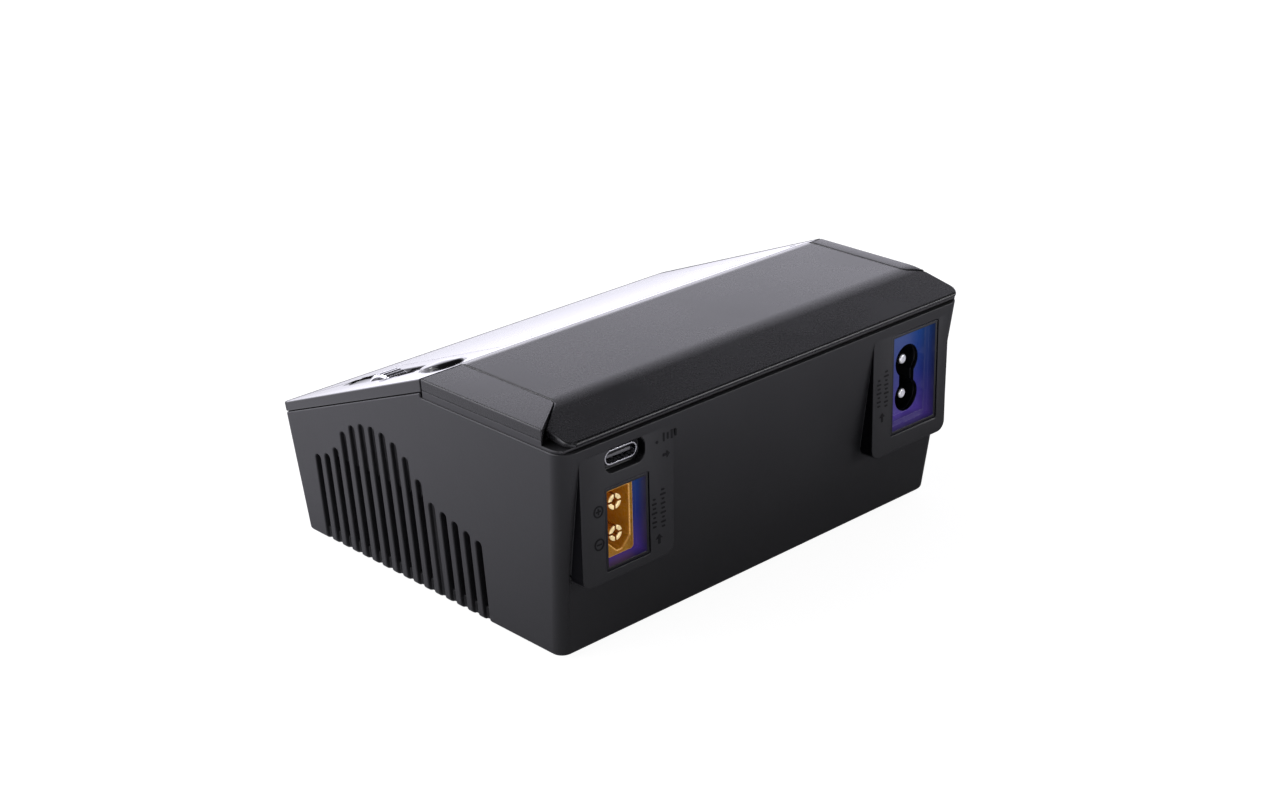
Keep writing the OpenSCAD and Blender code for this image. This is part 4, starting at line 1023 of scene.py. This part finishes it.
def board_parts():
    """Small chips and resistors fill the free places of the main board."""
    random.seed(7)
    board_low, board_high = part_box("main_board")
    clearance, corner, edge, gap = 0.8 * MM, 8 * MM, 2 * MM, 0.7 * MM
    taken = []
    for name in TALL_PARTS:
        low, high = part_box(name)
        taken.append((low.x - clearance, low.y - clearance, high.x + clearance, high.y + clearance))
    for x in (board_low.x, board_high.x - corner):
        for y in (board_low.y, board_high.y - corner):
            taken.append((x, y, x + corner, y + corner))
    chips, legs = bmesh.new(), bmesh.new()
    wanted, tries, placed = 34, 900, 0
    for _ in range(tries):
        if placed >= wanted:
            break
        w, d, h = (side * MM for side in random.choice(CHIP_SIZES))
        if random.random() < 0.5:
            w, d = d, w
        x = random.uniform(board_low.x + edge + w / 2, board_high.x - edge - w / 2)
        y = random.uniform(board_low.y + edge + d / 2, board_high.y - edge - d / 2)
        area = (x - w / 2 - gap, y - d / 2 - gap, x + w / 2 + gap, y + d / 2 + gap)
        if any(area[0] < t[2] and area[2] > t[0] and area[1] < t[3] and area[3] > t[1] for t in taken):
            continue
        taken.append(area)
        placed += 1
        place = Matrix.Translation((x, y, board_high.z))
        add_prism(chips, rounded_rectangle(w, d, 0.12 * MM, 2), place, h)
        add_legs(legs, place, w, d, h)
    piece("board_chips", chips, "case", "black_plastic", smooth=False)
    piece("solder_legs", legs, "case", "steel", smooth=False)


# --- Stage ----------------------------------------------------------------------


COOL_LIGHT = (0.96, 0.945, 1.06, 1.0)
WHITE = (1.0, 1.0, 1.0, 1.0)
EDGE_GLOW = (0.387, -0.676, 0.627)  # mirrored by the rounded far edge of the top


def studio_world():
    """Pale surroundings that are bright low behind the object and dim on the camera's side."""
    world = bpy.data.worlds.new("studio")
    bpy.context.scene.world = world
    world.use_nodes = True
    w = Nodes(world.node_tree)
    background = w.tree.nodes["Background"]
    direction = w.node("ShaderNodeTexCoord").outputs["Generated"]
    parts = w.node("ShaderNodeSeparateXYZ")
    w.link(direction, parts.inputs["Vector"])
    behind = w.spread(parts.outputs["Y"], 1.0, 0.0, -0.45, 0.1, "SMOOTHSTEP")
    low_band = w.spread(parts.outputs["Z"], 1.15, 0.02, 0.4, 0.53, "SMOOTHSTEP")
    horizon = w.spread(parts.outputs["Z"], 1.8, 0.0, 0.1, 0.34, "SMOOTHSTEP")
    toward = w.node("ShaderNodeVectorMath", operation="DOT_PRODUCT")
    w.link(direction, toward.inputs[0])
    toward.inputs[1].default_value = EDGE_GLOW
    patch = w.spread(toward.outputs["Value"], 0.0, 1.3, 0.88, 0.97, "SMOOTHSTEP")
    wall, ambient = w.product(behind, w.total(low_band, horizon)), 0.06
    w.link(w.total(wall, w.total(patch, ambient)), background.inputs["Strength"])
    background.inputs["Color"].default_value = COOL_LIGHT
    path = w.node("ShaderNodeLightPath")
    white = w.node("ShaderNodeBackground")
    white.inputs["Color"].default_value = WHITE
    choice = w.node("ShaderNodeMixShader")
    w.link(path.outputs["Is Camera Ray"], choice.inputs["Fac"])
    w.link(background.outputs["Background"], choice.inputs[1])
    w.link(white.outputs["Background"], choice.inputs[2])
    w.link(choice.outputs["Shader"], w.tree.nodes["World Output"].inputs["Surface"])


def floor_paper():
    """Paper that glows in bands along Y for the reflections, and is seen as plain white.

    Its underside is clear, so the object can be looked at from below.
    """
    f = Finish("floor_paper", (0.8, 0.8, 0.8), 0.9, specular=0.0)
    path = f.node("ShaderNodeLightPath")
    depth = f.along("Y")
    front = f.spread(depth, 1.3, 0.0, -0.19, -0.13)
    beside = f.spread(f.along("X"), 0.3, 1.0, 0.03, 0.075)
    middle = f.product(f.spread(depth, 0.62, 0.0, -0.07, 0.06), beside)
    rear = f.spread(depth, 0.04, 1.2, 0.1, 0.2)
    reach = f.total(front, middle, rear)
    glow = f.node("ShaderNodeMix", data_type="FLOAT")
    f.link(path.outputs["Is Camera Ray"], glow.inputs["Factor"])
    f.link(reach, glow.inputs[2])
    glow.inputs[3].default_value = 0.94
    f.put("Emission Color", f.mix(path.outputs["Is Camera Ray"], COOL_LIGHT, WHITE))
    f.put("Emission Strength", glow.outputs[0])
    grain = f.spread(f.noise(60, 3.0), 0.0, 0.06)
    f.put("Base Color", f.mix(grain, (0.3, 0.3, 0.3, 1.0), (0.27, 0.27, 0.27, 1.0)))
    below = f.node("ShaderNodeNewGeometry").outputs["Backfacing"]
    seen_through = f.node("ShaderNodeMixShader")
    f.link(below, seen_through.inputs["Fac"])
    f.link(f.bsdf.outputs["BSDF"], seen_through.inputs[1])
    f.link(f.node("ShaderNodeBsdfTransparent").outputs["BSDF"], seen_through.inputs[2])
    f.link(seen_through.outputs["Shader"], f.tree.nodes["Material Output"].inputs["Surface"])
    return f.mat


def pale_floor():
    bm = bmesh.new()
    half, cuts, drop = 4.0, 8, 0.02 * MM
    marks = [-half + 2 * half * i / cuts for i in range(cuts + 1)]
    rows = [[bm.verts.new((x, y, 0.0)) for x in marks] for y in marks]
    for low_row, high_row in zip(rows, rows[1:]):
        for i in range(cuts):
            bm.faces.new((low_row[i], low_row[i + 1], high_row[i + 1], high_row[i]))
    mesh = bpy.data.meshes.new("floor")
    bm.to_mesh(mesh)
    bm.free()
    floor = bpy.data.objects.new("floor", mesh)
    floor.location.z = -drop
    bpy.context.scene.collection.objects.link(floor)
    mesh.materials.append(floor_paper())


def soft_light(name, location, target, size, watts):
    data = bpy.data.lights.new(name, "AREA")
    data.shape = "RECTANGLE"
    data.size, data.size_y = size
    data.energy = watts
    obj = bpy.data.objects.new(name, data)
    obj.location = location
    obj.rotation_euler = (Vector(target) - Vector(location)).to_track_quat("-Z", "Y").to_euler()
    bpy.context.scene.collection.objects.link(obj)


def camera():
    """Looks down on the rear corner from 22.8 degrees, with the fan grille to the left."""
    turn, rise, roll = (math.radians(degrees) for degrees in (137.158, 22.786, -1.468))
    place_at = (0.318406, 0.347723, 0.227306)
    back = Vector((math.sin(turn) * math.cos(rise), -math.cos(turn) * math.cos(rise), math.sin(rise)))
    right = Vector((0, 0, 1)).cross(back).normalized()
    up = back.cross(right)
    across = right * math.cos(roll) + up * math.sin(roll)
    upward = up * math.cos(roll) - right * math.sin(roll)
    data = bpy.data.cameras.new("camera")
    data.sensor_width = 36.0
    data.lens = 62.12
    data.clip_start = 0.01
    data.clip_end = 50.0
    obj = bpy.data.objects.new("camera", data)
    place = Matrix((across, upward, back)).transposed().to_4x4()
    place.translation = Vector(place_at)
    obj.matrix_world = place
    bpy.context.scene.collection.objects.link(obj)
    bpy.context.scene.camera = obj


def build():
    dress_nodes()
    for name, radius in EDGE_RADII.items():
        round_edges(NODES[name], radius)
    rear_marks()
    screen_face()
    front_marks()
    fan_rotor()
    toroid()
    cables()
    board_parts()
    studio_world()
    pale_floor()
    soft_light("side_box", (1.1, -0.15, 0.55), target=(0.03, 0, 0.03), size=(0.9, 0.7), watts=4.6)
    soft_light("lip_strip", (-0.83, 0.93, 0.3), target=(0, 0.04, 0.05), size=(0.6, 0.22), watts=3.2)
    soft_light("edge_strip", (0.5, -0.88, 0.82), target=(0.03, 0, 0.05), size=(0.5, 0.22), watts=2.4)
    camera()
    bpy.context.scene.view_settings.view_transform = "Standard"


build()
